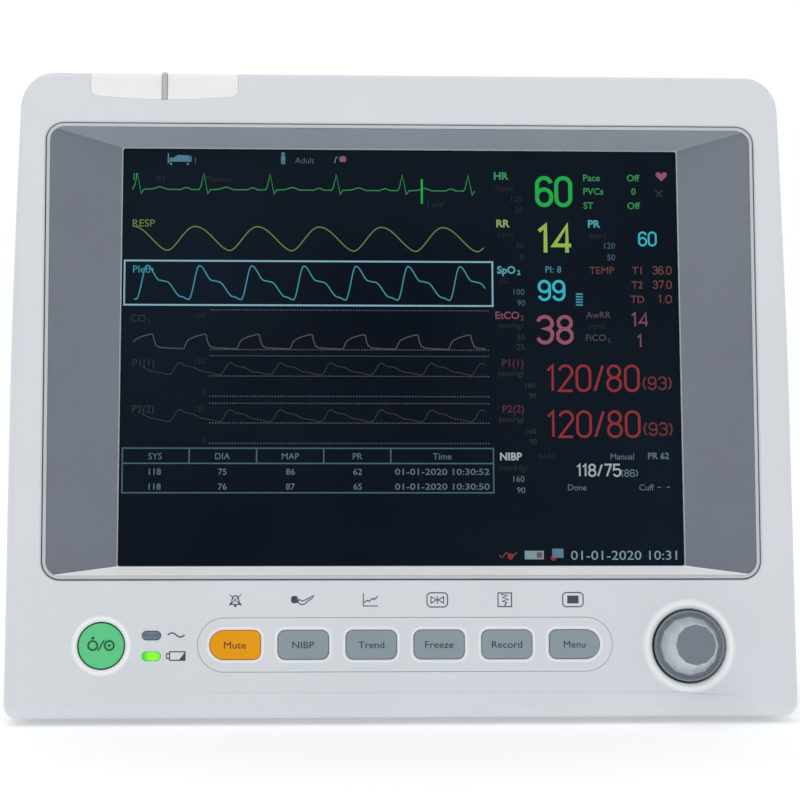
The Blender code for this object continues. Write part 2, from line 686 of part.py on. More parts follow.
def rear_ring(y, inset):
    radius_top = max(REAR_TOP_RADIUS - 0.5 * inset, 0.002)
    radius_bottom = max(REAR_BOTTOM_RADIUS - 0.2 * inset, 0.001)
    radii = (radius_bottom, radius_top, radius_top, radius_bottom)
    shape = outline(-REAR_HALF + inset, REAR_HALF - inset, BASE_Z + inset, REAR_TOP - inset, radii, 5)
    return [(u, y, v) for u, v in shape]


def rear_block(name, inset, look=None):
    """The rear housing's solid form, shrunk by inset, with its back edges rounded."""
    front_y = -0.060 - inset
    rings = [rear_ring(front_y, inset), rear_ring(REAR_Y - REAR_ROUND, inset)]
    radius = REAR_ROUND - inset
    for step in range(1, 5):
        angle = math.radians(90 * step / 4)
        rings.append(rear_ring(REAR_Y - REAR_ROUND + radius * math.sin(angle),
                               inset + radius * (1 - math.cos(angle))))
    return loft(name, rings, look)


def rear_housing():
    housing = rear_block("rear_housing", 0.0, "rear_white")
    hollow = rear_block("cutter_hollow", WALL)
    pockets = {
        "handle": ((-POCKET_HALF, POCKET_Y, POCKET_Z), (POCKET_HALF, FAR, FAR)),
        "ports": (PORT_BAY_LOW, (PORT_BAY_HIGH[0], FAR, PORT_BAY_HIGH[2])),
        "plate": ((-PLATE_HALF, PLATE_Y[0], -FAR), (PLATE_HALF, PLATE_Y[1], BASE_Z + PLATE_SUNK)),
    }
    for name, (low, high) in pockets.items():
        cut(hollow, boxes("cutter_" + name + "_grown", [grown(low, high, WALL)]))
    cut(housing, hollow)
    for name, span in pockets.items():
        cut(housing, boxes("cutter_" + name, [span]))
    past = PARTING_DEPTH + 0.0004
    cut(housing, boxes("cutter_parting", [((-FAR, -FAR, -FAR), (FAR, past, 2 * FAR))], parent=PANEL))
    cut(housing, boxes("cutter_side_windows", [
        grown((BAY_LOW[0] - 0.010, BAY_LOW[1], BAY_LOW[2]), BAY_HIGH, GAP),
        grown(RECORDER_LOW, (FAR, RECORDER_HIGH[1], RECORDER_HIGH[2]), GAP),
        grown(BATTERY_LOW, (FAR, BATTERY_HIGH[1], BATTERY_HIGH[2]), GAP),
    ]))
    cut(housing, boxes("cutter_rear_windows", rear_windows()))
    cut(housing, rod("cutter_stud", (STUD_X, 0.060, PORT_Z), (STUD_X, 0.070, PORT_Z), 0.0044, sides=20))
    cut(housing, rod("cutter_trunnions", (-POCKET_HALF - 0.01, HANDLE_PIVOT_Y, HANDLE_Z),
                     (POCKET_HALF + 0.01, HANDLE_PIVOT_Y, HANDLE_Z), TRUNNION + 0.0004, sides=20))
    cut(housing, foot_cutter("rear"))
    return housing


def slots(x_low, x_high, z_low, count, pitch, height):
    return [((x_low, REAR_Y - 0.006, z_low + pitch * i), (x_high, REAR_Y + 0.01, z_low + pitch * i + height))
            for i in range(count)]


def rear_windows():
    """Openings in the back wall: heat sink, speaker and warm-air slots, mains inlet and network port."""
    spans = [((SINK_X[0] - 0.001, 0.070, SINK_Z[0] - 0.001), (SINK_X[1] + 0.001, 0.080, SINK_Z[1] + 0.001))]
    reach = 0.018
    spans += slots(SPEAKER_X - reach, SPEAKER_X + reach, SPEAKER_Z - 0.0181, 7, 0.0056, 0.0026)
    for side in (-1, 1):
        low, high = sorted((side * 0.096, side * 0.124))
        spans += slots(low, high, 0.188, 4, 0.0056, 0.0026)
    for low, high in (INLET_SPAN, NETWORK_SPAN):
        low, high = grown(low, high, GAP)
        spans.append((low, (high[0], 0.070, high[2])))
    return spans


# ---------------------------------------------------------------- left side


def connector_panel():
    """A tray set into the left wall, open to the left, with a hole for each socket."""
    tray = boxes("connector_panel", [(BAY_LOW, BAY_HIGH)], "bezel_white")
    low = (BAY_LOW[0] - 0.01, BAY_LOW[1] + TRAY_WALL, BAY_LOW[2] + TRAY_WALL)
    high = (BAY_FLOOR, BAY_HIGH[1] - TRAY_WALL, BAY_HIGH[2] - TRAY_WALL)
    cut(tray, boxes("cutter_bay", [(low, high)]))
    holes = [(y, z, radius - 0.0015) for y, z, radius in SOCKETS.values()]
    holes += [(y, z, radius) for z, ys, radius, _ in SOCKET_PAIRS.values() for y in ys]
    holes.append((NIBP_Y, NIBP_Z, 0.0040))
    for number, (y, z, radius) in enumerate(holes):
        cut(tray, rod(f"cutter_socket_{number}", (-0.132, y, z), (-0.120, y, z), radius + GAP, sides=16))
    return tray


def socket(name, y, z, radius):
    """A round socket: collar outside the panel, key bore, and a narrower body through the panel."""
    top, bottom = -SOCKET_FRONT, -SOCKET_BACK
    collar = BAY_FLOOR - GAP
    bore, floor = radius - 0.0030, -SOCKET_FRONT - 0.0085
    turned(name, [
        (0, floor), (bore, floor), (bore, top), (radius - 0.0008, top), (radius, top - 0.0010),
        (radius, -collar), (radius - 0.0015, -collar), (radius - 0.0015, bottom), (0, bottom),
    ], (0, y, z), "left", "socket_blue", steps=16)


def socket_pair(name, z, ys, radius, bore):
    """Two small sockets on one plate."""
    margin = radius + 0.0022
    front = BAY_FLOOR - PAIR_PLATE
    low, high = (front, ys[0] - margin, z - margin), (BAY_FLOOR - GAP, ys[1] + margin, z + margin)
    plate = boxes(name, [(low, high)], "socket_blue")
    for side, y in enumerate(ys):
        join(plate, rod(f"cutter_{name}_{side}", (SOCKET_BACK, y, z), (front - 0.0035, y, z), radius))
        cut(plate, rod(f"cutter_{name}_bore_{side}", (-0.1265, y, z), (-0.150, y, z), bore, sides=16))


def sockets():
    for name, (y, z, radius) in SOCKETS.items():
        socket(name, y, z, radius)
    for name, pair in SOCKET_PAIRS.items():
        socket_pair(name, *pair)
    collar = -(BAY_FLOOR - GAP)
    turned("nibp_nozzle", [
        (0.0020, 0.1390), (0.0030, 0.1390), (0.0042, 0.1375),
        (0.0042, 0.1362), (0.0034, 0.1355), (0.0034, 0.1320),
        (NIBP_RADIUS, 0.1320), (NIBP_RADIUS, collar), (0.0040, collar),
        (0.0040, -SOCKET_BACK), (0.0020, -SOCKET_BACK),
    ], (0, NIBP_Y, NIBP_Z), "left", "steel", steps=16, ring=True)
    boxes("parameter_board", [((-0.1210, 0.016, 0.036), (-0.1194, 0.060, 0.180))], "board_green")


# ---------------------------------------------------------------- right side


def open_tray(name, low, high, look):
    """A box open to the right, as thick as TRAY_WALL."""
    tray = boxes(name, [(low, high)], look)
    inner_low = tuple(a + TRAY_WALL for a in low)
    inner_high = (FAR, high[1] - TRAY_WALL, high[2] - TRAY_WALL)
    cut(tray, boxes("cutter_" + name, [(inner_low, inner_high)]))
    return tray


def hinged_door(name, tray_low, tray_high, z_low, z_high, hinge_x, hinge_z, look):
    """A flat door in a tray's mouth, with a barrel along its hinge edge and a pin at each end."""
    origin = (hinge_x, 0, hinge_z)
    face = tray_high[0]
    y_low, y_high = tray_low[1] + TRAY_WALL + SLIDE_GAP, tray_high[1] - TRAY_WALL - SLIDE_GAP
    door = boxes(name, [((face - DOOR_THICK, y_low, z_low), (face, y_high, z_high))], look, origin=origin)
    join(door, rod("cutter_barrel_" + name, (hinge_x, y_low, hinge_z), (hinge_x, y_high, hinge_z),
                   HINGE_BARREL, sides=16))
    join(door, rod("cutter_pin_" + name, (hinge_x, tray_low[1] + GAP, hinge_z),
                   (hinge_x, tray_high[1] - GAP, hinge_z), HINGE_PIN, sides=16))
    return door


def recorder():
    low, high = RECORDER_LOW, RECORDER_HIGH
    frame = open_tray("recorder_frame", low, high, "bezel_white")
    inside_z = high[2] - TRAY_WALL
    fascia = ((high[0] - DOOR_THICK, low[1] + 0.001, FASCIA_BOTTOM),
              (high[0], high[1] - 0.001, inside_z + 0.001))
    join(frame, boxes("cutter_fascia", [fascia]))
    release = ((0.1300, 0.0200, 0.1570), (0.1412, 0.0340, 0.1630))
    cut(frame, boxes("cutter_release", [((0.136, release[0][1] - SLIDE_GAP, release[0][2] - SLIDE_GAP),
                                         (0.150, release[1][1] + SLIDE_GAP, release[1][2] + SLIDE_GAP))]))
    for name, x, z, radius in (("spindle", ROLL_X, ROLL_Z, SPINDLE_RADIUS),
                               ("platen", PLATEN_X, PLATEN_Z, PLATEN_SHAFT),
                               ("hinge", RECORDER_HINGE_X, RECORDER_HINGE_Z, HINGE_PIN),):
        cut(frame, rod("cutter_hole_" + name, (x, low[1] - 0.01, z), (x, high[1] + 0.01, z), radius + GAP,
                       sides=16))
    door = hinged_door("recorder_door", low, high, RECORDER_HINGE_Z - HINGE_BARREL, RECORDER_DOOR_TOP,
                       RECORDER_HINGE_X, RECORDER_HINGE_Z, "bezel_white")
    cut(door, boxes("cutter_finger_dent",
                    [((high[0] - 0.0010, 0.027, 0.1350), (high[0] + 0.01, 0.047, 0.1400))]))
    button = boxes("recorder_release", [((0.1370, release[0][1], release[0][2]), release[1])], "key_grey")
    join(button, boxes("cutter_release_flange", [((0.1360, release[0][1] - 0.001, release[0][2] - 0.001),
                                                  (high[0] - DOOR_THICK - GAP, release[1][1] + 0.001,
                                                   release[1][2] + 0.001))]))
    roll_near, roll_far = low[1] + TRAY_WALL + 0.002, high[1] - TRAY_WALL - 0.002
    prism("paper_roll", circle(ROLL_X, ROLL_Z, ROLL_RADIUS, 40), roll_near, roll_far, "paper",
          origin=(ROLL_X, 0, ROLL_Z), holes=[circle(ROLL_X, ROLL_Z, ROLL_CORE, 20)])
    rod("paper_spindle", (ROLL_X, low[1] + GAP, ROLL_Z), (ROLL_X, high[1] - GAP, ROLL_Z), SPINDLE_RADIUS,
        "dark_plastic")
    platen = rod("platen_roller", (PLATEN_X, roll_near, PLATEN_Z), (PLATEN_X, roll_far, PLATEN_Z),
                 PLATEN_RADIUS, "rubber", sides=24, origin=(PLATEN_X, 0, PLATEN_Z))
    join(platen, rod("cutter_platen_shaft",
                     (PLATEN_X, GEAR_NEAR, PLATEN_Z), (PLATEN_X, high[1] - GAP, PLATEN_Z),
                     PLATEN_SHAFT, sides=16))
    gear("platen_gear", PLATEN_X, PLATEN_Z, PLATEN_TEETH, PLATEN_SHAFT + GAP, 0.0, "dark_plastic")
    head_x = PLATEN_X - PLATEN_RADIUS - 0.0004
    boxes("print_head",
          [((head_x - 0.0025, roll_near, PLATEN_Z - 0.0060), (head_x, roll_far, PLATEN_Z + 0.0060))],
          "dark_plastic")
    motor_x, motor_z = PLATEN_X - motor_distance(), PLATEN_Z
    gear("motor_pinion", motor_x, motor_z, PINION_TEETH, 0.0013, 0.5, "brass")
    face = 0.0015
    turned("stepper_motor", [
        (0, GEAR_FAR - face), (0.0010, GEAR_FAR - face), (0.0010, 0.0010), (0.0022, 0.0010), (0.0022, 0),
        (0.0060, 0), (0.0060, -0.0155), (0, -0.0155),
    ], (motor_x, face, motor_z), "rear", "steel", steps=20)


def motor_distance():
    """Centre distance of the meshed pair, with a little backlash."""
    return GEAR_MODULE * (PLATEN_TEETH + PINION_TEETH) / 2 + 0.00015


def gear(name, x, z, teeth, bore, phase, look):
    """A spur gear with straight-flanked teeth. phase turns it by that share of a tooth."""
    pitch = GEAR_MODULE * teeth / 2
    root, tip = pitch - 1.25 * GEAR_MODULE, pitch + 0.9 * GEAR_MODULE
    flanks = ((-0.34, root), (-0.11, tip), (0.11, tip), (0.34, root))
    points = []
    for tooth in range(teeth):
        for share, radius in flanks:
            angle = 2 * math.pi * (tooth + phase + share) / teeth
            points.append((x + radius * math.cos(angle), z + radius * math.sin(angle)))
    return prism(name, points, GEAR_NEAR, GEAR_FAR, look, origin=(x, 0, z), holes=[circle(x, z, bore, 14)])


def battery():
    low, high = BATTERY_LOW, BATTERY_HIGH
    tray = open_tray("battery_tray", low, high, "rear_white")
    cut(tray, rod("cutter_hole_battery_hinge", (BATTERY_HINGE_X, low[1] - 0.01, BATTERY_HINGE_Z),
                  (BATTERY_HINGE_X, high[1] + 0.01, BATTERY_HINGE_Z), HINGE_PIN + GAP, sides=16))
    boxes("battery_pack", [((0.026, -0.0040, 0.0210), (0.134, 0.0610, 0.0450))], "battery_grey", bevel=0.0015)
    z_low, z_high = low[2] + TRAY_WALL + SLIDE_GAP, BATTERY_HINGE_Z + HINGE_BARREL
    door = hinged_door("battery_door", low, high, z_low, z_high,
                       BATTERY_HINGE_X, BATTERY_HINGE_Z, "bezel_white")
    pad_y, pad_z, travel = (0.0220, 0.0350), (0.0235, 0.0290), 0.0020
    cut(door, boxes("cutter_latch", [((0.130, pad_y[0] - SLIDE_GAP, pad_z[0] - SLIDE_GAP),
                                      (0.150, pad_y[1] + SLIDE_GAP, pad_z[1] + travel + SLIDE_GAP))]))
    behind = high[0] - DOOR_THICK - GAP
    latch = boxes("battery_latch", [((behind - 0.0005, pad_y[0], pad_z[0]), (0.1413, pad_y[1], pad_z[1]))],
                           "key_grey")
    join(latch, boxes("cutter_latch_plate", [((behind - 0.0016, pad_y[0] - 0.0030, z_low),
                                                       (behind, pad_y[1] + 0.0030, pad_z[1] + 0.0010))]))


# ---------------------------------------------------------------- top, rear, inside and underside


def handle():
    """A bow that lies back in its pocket and turns up about the trunnions at its ends."""
    origin = (0, HANDLE_PIVOT_Y, HANDLE_Z)
    right = [(HANDLE_HALF, HANDLE_PIVOT_Y, HANDLE_Z)]
    for step in range(7):
        angle = math.radians(15 * step)
        right.append((HANDLE_HALF - HANDLE_CORNER + HANDLE_CORNER * math.cos(angle),
                      HANDLE_REACH - HANDLE_CORNER + HANDLE_CORNER * math.sin(angle), HANDLE_Z))
    left = [(-x, y, z) for x, y, z in reversed(right)]
    bow = tube("handle", right + left, HANDLE_RADIUS, "bezel_white", origin)
    for side, name in ((1, "right"), (-1, "left")):
        inner, outer, stub = HANDLE_HALF - 0.0065, HANDLE_HALF + 0.0067, POCKET_HALF + WALL + 0.0004
        join(bow, rod("cutter_boss_" + name, (side * inner, HANDLE_PIVOT_Y, HANDLE_Z),
                      (side * outer, HANDLE_PIVOT_Y, HANDLE_Z), HANDLE_BOSS, sides=24))
        join(bow, rod("cutter_stub_" + name, (side * (outer - 0.001), HANDLE_PIVOT_Y, HANDLE_Z),
                      (side * stub, HANDLE_PIVOT_Y, HANDLE_Z), TRUNNION, sides=20))
    return bow


def heat_sink():
    base_near, base_far, tip, fins = 0.0600, 0.0635, 0.0765, 9
    sink = boxes("heat_sink", [((SINK_X[0], base_near, SINK_Z[0]), (SINK_X[1], tip, SINK_Z[1]))], "aluminium")
    fin = 0.0022
    pitch = (SINK_X[1] - SINK_X[0] - fin) / (fins - 1)
    cut(sink, boxes("cutter_fins", [
        ((SINK_X[0] + fin + pitch * i, base_far, SINK_Z[0] - 0.01),
         (SINK_X[0] + pitch * (i + 1), 0.1, SINK_Z[1] + 0.01))
        for i in range(fins - 1)]))


def speaker():
    turned("speaker", [
        (0, 0.0030), (0.0060, 0.0045), (0.0180, 0.0100), (SPEAKER_RADIUS, 0.0110), (SPEAKER_RADIUS, 0.0085),
        (0.0195, 0.0080), (0.0120, -0.0020), (0.0120, -0.0080), (0, -0.0080),
    ], (SPEAKER_X, 0.0630, SPEAKER_Z), "rear", "dark_plastic", steps=20)


def rear_connectors():
    low, high = INLET_SPAN
    inlet = boxes("ac_inlet", [(low, high)], "dark_plastic")
    rim, floor = 0.0022, low[1] + 0.004
    cut(inlet, boxes("cutter_inlet",
                     [((low[0] + rim, floor, low[2] + rim), (high[0] - rim, 0.1, high[2] - rim))]))
    middle, pin = (low[0] + high[0]) / 2, 0.0010
    for x, z in ((-0.0070, -0.0020), (0.0, 0.0020), (0.0070, -0.0020)):
        place = (middle + x, PORT_Z + z)
        join(inlet, boxes(f"cutter_blade_{round(x * 1000)}", [
            ((place[0] - pin, floor - 0.001, place[1] - 0.002),
             (place[0] + pin, high[1] - 0.004, place[1] + 0.002))]))
    low, high = NETWORK_SPAN
    port = boxes("network_port", [(low, high)], "steel")
    cut(port, boxes("cutter_network", [((low[0] + 0.0020, low[1] + 0.003, low[2] + 0.0020),
                                        (high[0] - 0.0020, 0.1, high[2] - 0.0035))]))
    turned("equipotential_terminal", [
        (0, 0.0130), (0.0022, 0.0130), (0.0030, 0.0122), (0.0030, 0.0065), (0.0055, 0.0065), (0.0055, 0.0033),
        (0.0041, 0.0033), (0.0041, -0.0040), (0, -0.0040),
    ], (STUD_X, 0.0630 + GAP / 2, PORT_Z), "rear", "brass", steps=16)


def power_supply():
    board_z, top = 0.0100, 0.0116
    board = boxes("power_supply", [((-0.120, -0.014, board_z), (-0.010, 0.042, top))], "board_green")
    join(board, boxes("cutter_transformer", [((-0.060, 0.004, top - 0.0005), (-0.028, 0.036, 0.036))]))
    join(board, boxes("cutter_filter", [((-0.112, 0.018, top - 0.0005), (-0.086, 0.038, 0.030))]))
    join(board, rod("cutter_capacitor", (-0.085, 0.002, top - 0.0005), (-0.085, 0.002, 0.040), 0.0100))
    floor = BASE_Z + WALL + GAP
    for number, (x, y) in enumerate((x, y) for x in (-0.114, -0.068) for y in (-0.008, 0.034)):
        join(board, rod(f"cutter_leg_{number}", (x, y, floor), (x, y, board_z + 0.0005), 0.0030, sides=12))


def nibp_pump():
    turned("nibp_pump", [
        (0, 0.030), (0.0022, 0.030), (0.0022, 0.022), (0.0120, 0.022), (0.0135, 0.0200), (0.0135, -0.0020),
        (0.0110, -0.0020), (0.0110, -0.0260), (0, -0.0260),
    ], (-0.0550, 0.0300, 0.0900), "left", "steel", steps=16)


def foot_outline(side, y, grow):
    radius = FOOT_RADIUS + grow
    x = side * FOOT_X
    return outline(x - FOOT_HALF - grow, x + FOOT_HALF + grow, y - radius, y + radius, (radius,) * 4, 4)


def foot_cutter(row):
    first = prism(f"cutter_feet_{row}", foot_outline(-1, FOOT_YS[row], SLIDE_GAP), -0.01, BASE_Z + FOOT_SUNK,
                  along="Z")
    other = prism(f"cutter_feet_{row}_right", foot_outline(1, FOOT_YS[row], SLIDE_GAP), -0.01,
                  BASE_Z + FOOT_SUNK, along="Z")
    join(first, other)
    return first


def underside():
    for row, y in FOOT_YS.items():
        for side, name in ((-1, "left"), (1, "right")):
            prism(f"foot_{row}_{name}", foot_outline(side, y, 0.0),
                  0.0, BASE_Z + FOOT_SUNK - GAP, "rubber", "Z")
    plate_low = (-PLATE_HALF + SLIDE_GAP, PLATE_Y[0] + SLIDE_GAP, BASE_Z)
    plate_high = (PLATE_HALF - SLIDE_GAP, PLATE_Y[1] - SLIDE_GAP, BASE_Z + PLATE_SUNK - GAP)
    plate = boxes("mounting_plate", [(plate_low, plate_high)], "aluminium")
    for number, (x, y) in enumerate((x, y) for x in (-PLATE_HOLES_X, PLATE_HOLES_X) for y in PLATE_HOLES_Y):
        cut(plate, rod(f"cutter_plate_hole_{number}", (x, y, -0.01), (x, y, 0.02), 0.0021, sides=16))


clear_scene()
PIECES = new_collection("patient_monitor")
CUTTERS = new_collection("cutters")
PANEL = bpy.data.objects.new("panel_frame", None)
PANEL.location = (0, FRONT_Y, BASE_Z)
PANEL.rotation_euler = (-LEAN, 0, 0)
PIECES.objects.link(PANEL)

front_housing()
display_mask()
display_stack()
chassis()
key_surround()
for number, key_name in enumerate(KEY_NAMES):
    key(number, key_name)
power_button()
indicators()
keypad_board()
knob()
alarm_lamp()
rear_housing()
connector_panel()
sockets()
recorder()
battery()
handle()
heat_sink()
speaker()
rear_connectors()
power_supply()
nibp_pump()
underside()
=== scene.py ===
"""Looks of the bedside patient monitor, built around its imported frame.

World frame: metres, +Z up, the front faces -Y. Front pieces are drawn in the panel frame:
X right, depth inwards from the front face, v up the face, which leans back by 8 degrees.
"""

import json
import math

import bmesh
import bpy
from mathutils import Matrix, Vector

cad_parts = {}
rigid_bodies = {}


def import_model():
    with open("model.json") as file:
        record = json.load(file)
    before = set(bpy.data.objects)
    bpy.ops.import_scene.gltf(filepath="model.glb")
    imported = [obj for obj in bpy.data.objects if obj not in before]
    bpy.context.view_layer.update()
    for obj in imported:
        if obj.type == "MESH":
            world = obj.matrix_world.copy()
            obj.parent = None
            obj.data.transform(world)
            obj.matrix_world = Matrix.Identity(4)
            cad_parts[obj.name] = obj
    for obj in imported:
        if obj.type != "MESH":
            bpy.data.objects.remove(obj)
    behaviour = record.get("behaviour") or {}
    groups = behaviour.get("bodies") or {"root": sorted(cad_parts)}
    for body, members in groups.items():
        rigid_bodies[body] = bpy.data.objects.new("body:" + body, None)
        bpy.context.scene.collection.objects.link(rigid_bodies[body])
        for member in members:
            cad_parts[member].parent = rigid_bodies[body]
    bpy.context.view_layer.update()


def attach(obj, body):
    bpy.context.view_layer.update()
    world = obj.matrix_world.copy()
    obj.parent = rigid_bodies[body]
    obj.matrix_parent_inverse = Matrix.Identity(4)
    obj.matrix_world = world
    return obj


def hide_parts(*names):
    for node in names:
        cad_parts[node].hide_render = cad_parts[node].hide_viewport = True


for leftover in list(bpy.data.objects):
    bpy.data.objects.remove(leftover, do_unlink=True)
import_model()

LEAN = math.radians(8)
FRONT_Y, BASE_Z, REAR_Y = -0.0645, 0.0024, 0.077
PANEL = Matrix.Translation((0, FRONT_Y, BASE_Z)) @ Matrix.Rotation(-LEAN, 4, "X")
GAP, SLIDE_GAP, WALL = 0.0003, 0.00035, 0.0024

FACE_HALF, FACE_HEIGHT = 0.1427, 0.2429
FACE_TOP_RADIUS, FACE_BOTTOM_RADIUS = 0.0113, 0.0017
TOP_ROUND, BOTTOM_ROLL = 0.0022, 0.0059
FLARE, FLARE_AT_TOP, FLARE_FULL_BELOW = 0.0034, 0.0008, 0.12
PARTING_DEPTH, RIM_DEPTH, RIM_INWARD = 0.046, 0.0032, 0.004
REAR_HALF, REAR_TOP, REAR_ROUND = 0.141, 0.235, 0.011
REAR_TOP_RADIUS, REAR_BOTTOM_RADIUS = 0.014, 0.004

SCREEN_HALF, SCREEN_BOTTOM, SCREEN_TOP, SCREEN_DEPTH = 0.1058, 0.0564, 0.2156, 0.0077
APERTURE_BOTTOM, APERTURE_TOP = 0.0509, 0.2235
APERTURE_HALF_BOTTOM, APERTURE_HALF_TOP, APERTURE_RADIUS = 0.1329, 0.1342, 0.007

KEYS = (  # name, word on the cap, how far the word is stretched
    ("mute", "Mute", 1.14), ("nibp", "NIBP", 1.1), ("trend", "Trend", 1.1), ("freeze", "Freeze", 1.12),
    ("record", "Record", 1.1), ("menu", "Menu", 1.05))
KEY_HALF_W, KEY_HALF_H, KEY_RADIUS = 0.0092, 0.0052, 0.0026
KEY_PITCH, KEY_ROW_X, KEY_ROW_V, KEY_PROUD, KEY_BACK = 0.0249, 0.00055, 0.0273, 0.0009, 0.0053
SURROUND_X, SURROUND_HALF, SURROUND_RADIUS, SURROUND_BACK = 0.0007, 0.0762, 0.0099, 0.004
POWER_X, POWER_V, POWER_RADIUS = -0.1104, 0.0271, 0.0083
LED_X, LED_HALF_W, LED_HALF_H = -0.0922, 0.00335, 0.00155
LED_V = {"led_mains": 0.0308, "led_battery": 0.0233}
KNOB_X, KNOB_V = 0.1052, 0.0265
KNOB_HOLE, KNOB_SKIRT, KNOB_BASE, KNOB_FACE = 0.0137, 0.013, 0.01035, 0.0076
KNOB_PROUD, KNOB_SKIRT_PROUD, KNOB_SUNK = 0.0153, 0.0022, 0.002
LAMP_LEFT, LAMP_RIGHT, LAMP_REACH = -0.1175, -0.062, 0.03
LAMP_END_V, LAMP_MIDDLE_V, LAMP_SPLIT, DIVIDER_HALF, LAMP_CORNER = 0.2339, 0.2323, -0.08965, 0.001, 0.0016
SYMBOL_V, MM = 0.0436, 0.001

BAY_LOW, BAY_HIGH = (-0.1407, 0.013, 0.03), (-0.126, 0.063, 0.186)
TRAY_WALL, BAY_FLOOR = 0.002, -0.128
RECORDER_LOW, RECORDER_HIGH = (0.094, 0.009, 0.096), (0.1407, 0.065, 0.168)
BATTERY_LOW, BATTERY_HIGH = (0.022, -0.007, 0.018), (0.1407, 0.064, 0.052)
HANDLE_HALF, HANDLE_PIVOT_Y, HANDLE_Z, HANDLE_REACH = 0.078, 0.029, 0.224, 0.066
POCKET_HALF, POCKET_Y, POCKET_Z = 0.086, 0.02, 0.212
PORT_LOW, PORT_HIGH = (-0.116, 0.066, 0.016), (0.004, REAR_Y, 0.052)
INLET_LOW, JACK_LOW, PORT_FRONT = (-0.109, 0.046, 0.0235), (-0.04, 0.05, 0.027), 0.0657
SLOT_PITCH, SLOT_HEIGHT = 0.0056, 0.0026
RECORDER_HINGE, BATTERY_HINGE, DOOR_THICK = (0.1391, 0.1004), (0.1391, 0.0475), 0.0024
FOOT_X, FOOT_SIZE, FOOT_ROWS = 0.1, (0.012, 0.0055), {"front": -0.028, "rear": 0.06}
FAR = 0.3  # past every part

# ---------------------------------------------------------------- materials

looks = {}


def node(tree, kind, **settings):
    made = tree.nodes.new(kind)
    for key, value in settings.items():
        if key in made.inputs.keys():
            made.inputs[key].default_value = value
        else:
            setattr(made, key, value)
    return made


def shader_of(name, **constants):
    """A new material, kept in looks. constants are inputs of its shader, with _ for a space."""
    made = looks[name] = bpy.data.materials.new(name)
    made.use_nodes = True
    shader = made.node_tree.nodes["Principled BSDF"]
    for key, value in constants.items():
        shader.inputs[key.replace("_", " ")].default_value = value
    return made.node_tree, shader


def feed(tree, source, target, *names):
    for name in names:
        tree.links.new(source, target.inputs[name])


def noise(tree, scale, detail=2.0, stretch=None):
    """Noise in the object's own metres. stretch squeezes it along X, Y or Z."""
    source = node(tree, "ShaderNodeTexCoord").outputs["Object"]
    made = node(tree, "ShaderNodeTexNoise", Scale=scale, Detail=detail)
    if stretch:
        mapping = node(tree, "ShaderNodeMapping", Scale=stretch)
        feed(tree, source, mapping, "Vector")
        source = mapping.outputs["Vector"]
    feed(tree, source, made, "Vector")
    return made.outputs["Fac"]


def ramp(tree, source, *stops):
    made = node(tree, "ShaderNodeValToRGB")
    elements = made.color_ramp.elements
    while len(elements) < len(stops):
        elements.new(0.5)
    for element, (place, colour) in zip(elements, stops):
        element.position, element.color = place, (*colour, 1)
    feed(tree, source, made, "Fac")
    return made.outputs["Color"]


def spread(tree, source, low, high, start=0.3, end=0.7):
    made = node(tree, "ShaderNodeMapRange")
    for place, value in enumerate((start, end, low, high), 1):
        made.inputs[place].default_value = value
    feed(tree, source, made, 0)
    return made.outputs[0]


def away(tree, centre, near, far):
    """0 to 1 between two distances from a point."""
    made = node(tree, "ShaderNodeVectorMath", operation="DISTANCE")
    made.inputs[1].default_value = centre
    feed(tree, node(tree, "ShaderNodeTexCoord").outputs["Object"], made, 0)
    return spread(tree, made.outputs["Value"], 0.0, 1.0, near, far)


BEZEL = (0.72, 0.75, 0.79)
# painted highlight: near-white colour for the crests of the raised rings, where they catch the light
BEZEL_CREST_HIGHLIGHT = (0.97, 0.98, 0.99)
CLOUD, WEAR, FLAKE, CELL = 30.0, 90.0, 2600.0, 2200.0  # scales of noise, per metre


def shade(colour, by):
    return tuple(min(max(c * by, 0), 1) for c in colour)


def surface(name, colour, rough, metallic=0.0, grain=0.0006, bump=0.00001, vary=0.03, rough_vary=0.06,
            coat=0.0, specular=0.5, emission=0.0, stretch=None, flake=0.0):
    """A moulded, painted or metal surface: cloudy colour, uneven gloss and a fine grain in relief."""
    tree, shader = shader_of(name, Metallic=metallic, Coat_Weight=coat, Specular_IOR_Level=specular)
    cloud = noise(tree, CLOUD, 4.0, stretch)
    base = ramp(tree, cloud, (0.3, shade(colour, 1 - vary)), (0.7, shade(colour, 1 + vary)))
    if flake:
        spark = noise(tree, FLAKE, 1.0)
        mix = node(tree, "ShaderNodeMix", data_type="RGBA", blend_type="MULTIPLY")
        mix.inputs[0].default_value = 1.0
        feed(tree, base, mix, 6)
        feed(tree, ramp(tree, spark, (0.42, (1 - flake,) * 3), (0.62, (1 + flake,) * 3)), mix, 7)
        base = mix.outputs[2]
    feed(tree, base, shader, "Base Color")
    if emission:
        feed(tree, base, shader, "Emission Color")
        shader.inputs["Emission Strength"].default_value = emission
    low, high = max(rough - rough_vary, 0.02), min(rough + rough_vary, 1)
    feed(tree, spread(tree, noise(tree, WEAR, 3.0, stretch), low, high), shader, "Roughness")
    relief = node(tree, "ShaderNodeBump", Strength=1.0, Distance=bump)
    feed(tree, noise(tree, 1 / grain, 3.0, stretch), relief, "Height")
    feed(tree, relief.outputs["Normal"], shader, "Normal")


def glow(name, colour):
    """A lit part of the display, a little uneven as lit pixels are."""
    tree, shader = shader_of(name, Base_Color=(0.004, 0.005, 0.006, 1), Emission_Strength=1.0, Roughness=0.6,
                             Specular_IOR_Level=0.05)
    feed(tree, ramp(tree, noise(tree, CELL, 1.0), (0.35, shade(colour, 0.82)), (0.65, colour)), shader,
         "Emission Color")


def lit_pill(name, centre, inner, outer, radius):
    """An indicator that is brightest in its middle."""
    tree, shader = shader_of(name, Emission_Strength=0.75, Roughness=0.25)
    shown = ramp(tree, away(tree, centre, 0.0, radius), (0.15, inner), (0.85, outer))
    feed(tree, shown, shader, "Base Color", "Emission Color")


